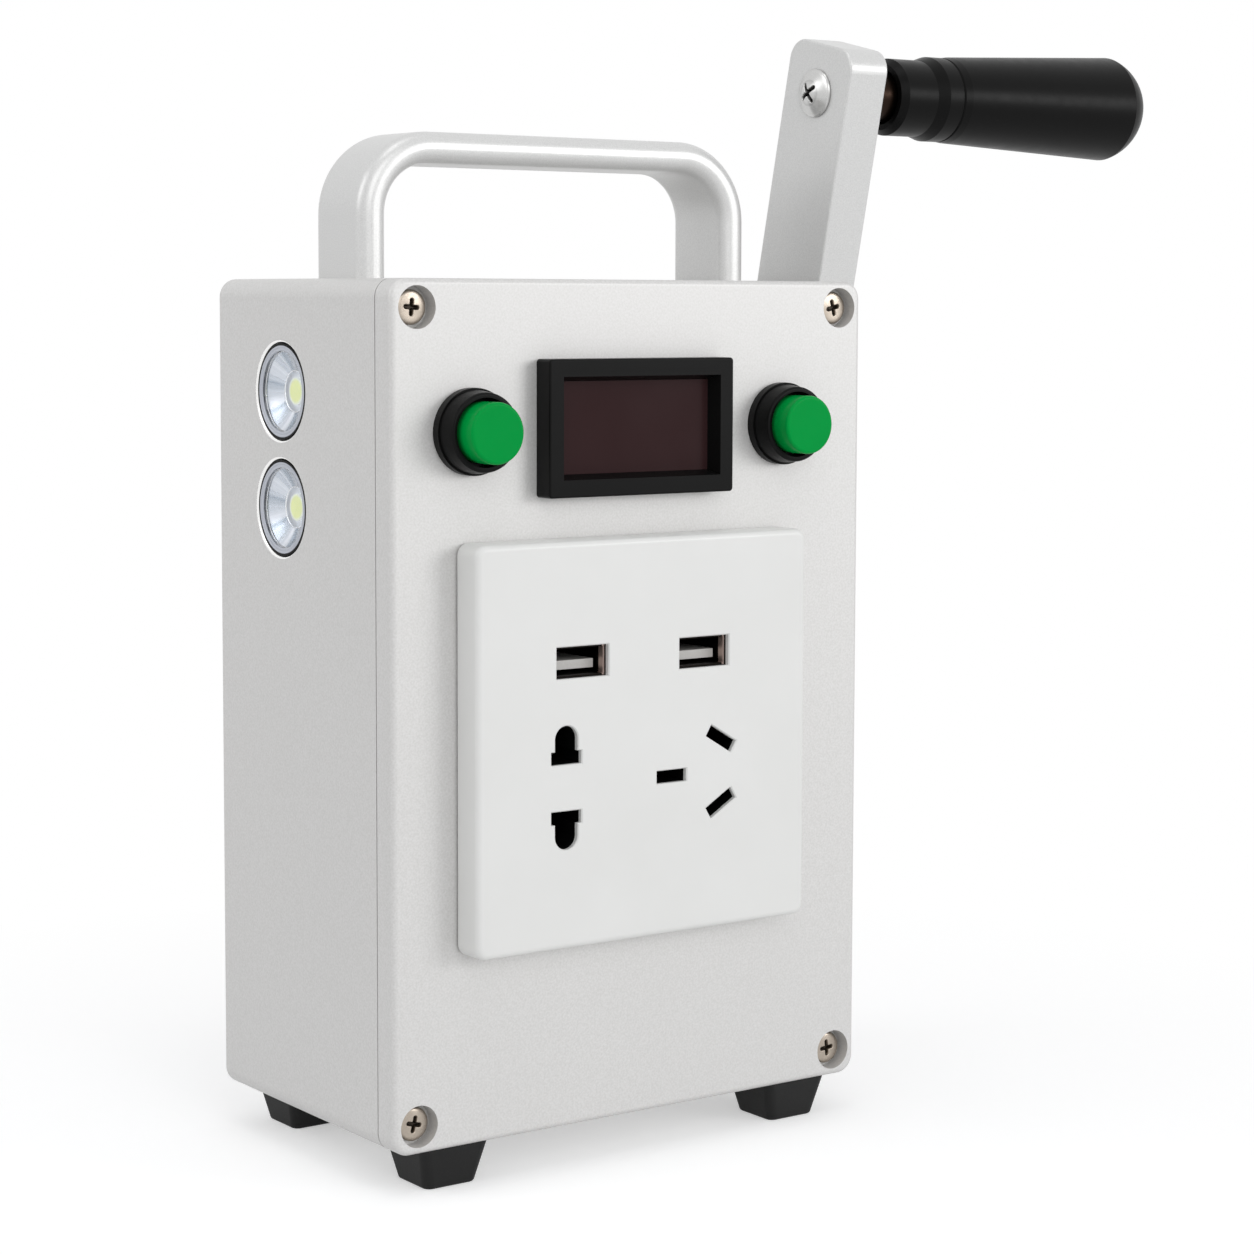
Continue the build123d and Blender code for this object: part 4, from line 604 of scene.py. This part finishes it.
finish_piece(
    truss,
    "grip_screw_head",
    turned_nickel(
        "turned_nickel_truss_head", 0, arm_screw_low.x / MM, 1.9, 2.9, "#cfcfce", "#bfbfbe"
    ),
    "crank",
    ["grip_screw"],
)

# ---------------------------------------------------------------- return springs
# A coil in each button, from its pocket's floor to the cap's roof.
WIRE_RADIUS = 0.3
WIRE_SIDES = 10
COIL_TURNS = 8
STEPS_A_TURN = 28
COIL_END_GAP = 0.05


def return_spring(side):
    """One wound spring in a button, riding on the case."""
    node = f"button_{side}_spring"
    low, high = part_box(node)
    length = (high.y - low.y) / MM
    middle = (high.x - low.x) / MM / 2 - WIRE_RADIUS
    steps = COIL_TURNS * STEPS_A_TURN
    rise = length - 2 * WIRE_RADIUS - COIL_END_GAP
    coil = bmesh.new()
    stand_wire = Matrix.Rotation(math.pi / 2, 4, "X")
    bmesh.ops.create_circle(
        coil,
        segments=WIRE_SIDES,
        radius=WIRE_RADIUS,
        matrix=Matrix.Translation((middle, 0, WIRE_RADIUS)) @ stand_wire,
    )
    bmesh.ops.spin(
        coil,
        geom=coil.verts[:] + coil.edges[:],
        cent=(0, 0, 0),
        axis=(0, 0, 1),
        dvec=(0, 0, rise / steps),
        angle=2 * math.pi * COIL_TURNS,
        steps=steps,
    )
    bmesh.ops.holes_fill(coil, edges=[edge for edge in coil.edges if edge.is_boundary], sides=0)
    bmesh.ops.recalc_face_normals(coil, faces=coil.faces)
    for face in coil.faces:
        face.smooth = len(face.verts) == 4
    mesh = bpy.data.meshes.new(f"button_{side}_coil")
    anchor = ((low.x + high.x) / 2, high.y, (low.z + high.z) / 2)
    set_down(coil, mesh, anchor, FACING_FRONT)
    piece = finish_piece(
        mesh, mesh.name, MATERIALS["spring_steel"], "case", [node]
    )
    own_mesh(piece)


for side in ("left", "right"):
    return_spring(side)

# ---------------------------------------------------------------- torch details
wall_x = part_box("housing")[0].x
torch_middles = [(wall_x, TORCH_Y, TORCH_LOW_Z), (wall_x, TORCH_Y, TORCH_LOW_Z + TORCH_SPACING)]


def round_both_torches(name, profile, finish):
    """One turned piece in each torch, its profile in mm from the wall's face."""
    mesh = bpy.data.meshes.new(name)
    for middle in torch_middles:
        turn(mesh, profile, middle, FACING_LEFT, 128)
    finish_piece(mesh, name, finish, "case")


def bead(radius, depth, thick):
    """Closed round section of a thin ring."""
    return [
        (radius + thick * math.cos(i * math.pi / 5), depth + thick * math.sin(i * math.pi / 5))
        for i in range(11)
    ]


# The countersunk edge of each hole, cut bright after the blasting.
round_both_torches(
    "torch_hole_edges",
    [(10.97, -0.01), (10.41, -0.57), (10.41, -0.62), (11.0, -0.03), (10.97, -0.01)],
    worked_steel("bright_cut_aluminium", "#f6f6f5", 0.22, (1, 1, 1), 0.4, 0.001, "#e2e2e2"),
)
# Stepped lip moulded round each clear lens.
round_both_torches(
    "torch_lens_lips",
    [(9.86, -0.69), (9.86, -0.38), (9.78, -0.31), (9.5, -0.31), (9.42, -0.4), (9.3, -0.52),
     (9.16, -0.42), (9.06, -0.38), (8.8, -0.4), (8.68, -0.48), (8.6, -0.69), (9.86, -0.69)],
    plastic("moulded_lens_lip", "#c9cdd6", 0.12, 1.5, 0.001, "#b4bac6", 0.5),
)
# Bright beads where the cup meets the lens and the throat.
round_both_torches(
    "torch_cup_beads",
    bead(8.62, -1.98, 0.14),
    worked_steel("bead_of_the_cup", "#fafbfd", 0.16, (1, 1, 1), 1.0, 0.001, "#dfe4ea"),
)
round_both_torches(
    "torch_throat_beads",
    bead(4.45, -4.42, 0.2),
    worked_steel("bead_of_the_throat", "#fafbfd", 0.16, (1, 1, 1), 1.0, 0.001, "#dfe4ea"),
)


# ---------------------------------------------------------------- stage
def soft_box(name, place, aim, width, height, power):
    """White rectangular area light that faces a point."""
    data = bpy.data.lights.new(name, "AREA")
    data.shape = "RECTANGLE"
    data.size = width
    data.size_y = height
    data.energy = power
    lamp = bpy.data.objects.new(name, data)
    lamp.location = place
    lamp.rotation_euler = (Vector(aim) - Vector(place)).to_track_quat("-Z", "Y").to_euler()
    bpy.context.scene.collection.objects.link(lamp)


CENTRE = (0.0, 0.0, 0.11)
soft_box("key_light", (1.15, -1.5, 0.5), CENTRE, 0.9, 0.5, 7.0)
soft_box("front_light", (-0.35, -1.45, 0.8), CENTRE, 1.0, 0.9, 4.9)
soft_box("left_light", (-0.6, 0.15, 0.5), CENTRE, 0.35, 0.35, 0.65)
soft_box("top_light", (-0.2, -0.25, 1.4), CENTRE, 0.55, 0.55, 1.5)


def seen_rays(tree):
    """1 for rays that the eye follows: straight, mirrored or through glass."""
    rays = add_node(tree, "ShaderNodeLightPath")
    mirrored = add_node(
        tree,
        "ShaderNodeMath",
        {0: rays.outputs["Is Glossy Ray"], 1: rays.outputs["Is Transmission Ray"]},
        operation="MAXIMUM",
    )
    return add_node(
        tree,
        "ShaderNodeMath",
        {0: rays.outputs["Is Camera Ray"], 1: mirrored.outputs[0]},
        operation="MAXIMUM",
    ).outputs[0]


ROOM_LEVEL = 0.6
PAPER_NEAR = 0.1
PAPER_FAR = 0.26
PAPER_GLOW = 0.43
FLOOR_HALF = 12.0
floor_mesh = bpy.data.meshes.new("floor")
floor_mesh.from_pydata(
    [(x * FLOOR_HALF, y * FLOOR_HALF, 0.0) for x, y in ((-1, -1), (1, -1), (1, 1), (-1, 1))],
    [],
    [(0, 1, 2, 3)],
)
floor = bpy.data.objects.new("floor", floor_mesh)
bpy.context.scene.collection.objects.link(floor)
# Matt white paper: it takes the object's shadow, and further out it fades into the white room.
paper, paper_tree, paper_shader, paper_place = surface("studio_paper", Roughness=0.95)
paper_shader.inputs["Specular IOR Level"].default_value = 0.0
paper_tone = spread(paper_tree, grain(paper_tree, paper_place, 2.0), 0.3, 0.7, 0.0, 1.0)
paper_colour = blend_colours(paper_tree, paper_tone, colour("#dddddd"), colour("#e0e0e0"))
feed(paper_tree, paper_shader, "Base Color", paper_colour)
paper_shader.inputs["Emission Color"].default_value = colour("#ffffff")
glow = spread(paper_tree, seen_rays(paper_tree), 0.0, 1.0, 0.0, PAPER_GLOW)
feed(paper_tree, paper_shader, "Emission Strength", glow)
reach = add_node(
    paper_tree, "ShaderNodeVectorMath", {0: paper_place}, operation="LENGTH"
).outputs["Value"]
fade = spread(paper_tree, reach, PAPER_NEAR, PAPER_FAR, 0.0, 1.0)
eye_fade = add_node(
    paper_tree, "ShaderNodeMath", {0: fade, 1: seen_rays(paper_tree)}, operation="MULTIPLY"
).outputs[0]
paper_white = add_node(paper_tree, "ShaderNodeEmission", {0: colour("#ffffff"), 1: 1.0})
paper_mix = add_node(
    paper_tree,
    "ShaderNodeMixShader",
    {0: eye_fade, 1: paper_shader.outputs[0], 2: paper_white.outputs[0]},
)
paper_output = next(n for n in paper_tree.nodes if n.type == "OUTPUT_MATERIAL")
paper_tree.links.new(paper_mix.outputs[0], paper_output.inputs[0])
floor_mesh.materials.append(paper)

# White to the eye, in reflections and through glass; a soft grey room to everything it lights.
world = bpy.data.worlds.new("studio")
bpy.context.scene.world = world
world.use_nodes = True
sky = world.node_tree
sky.nodes.clear()
seen = seen_rays(sky)
white_sky = add_node(sky, "ShaderNodeBackground", {0: colour("#ffffff"), 1: 1.0})
room_sky = add_node(sky, "ShaderNodeBackground", {0: colour("#f6f7f9"), 1: ROOM_LEVEL})
both = add_node(
    sky, "ShaderNodeMixShader", {0: seen, 1: room_sky.outputs[0], 2: white_sky.outputs[0]}
)
sky_output = add_node(sky, "ShaderNodeOutputWorld")
sky.links.new(both.outputs[0], sky_output.inputs[0])
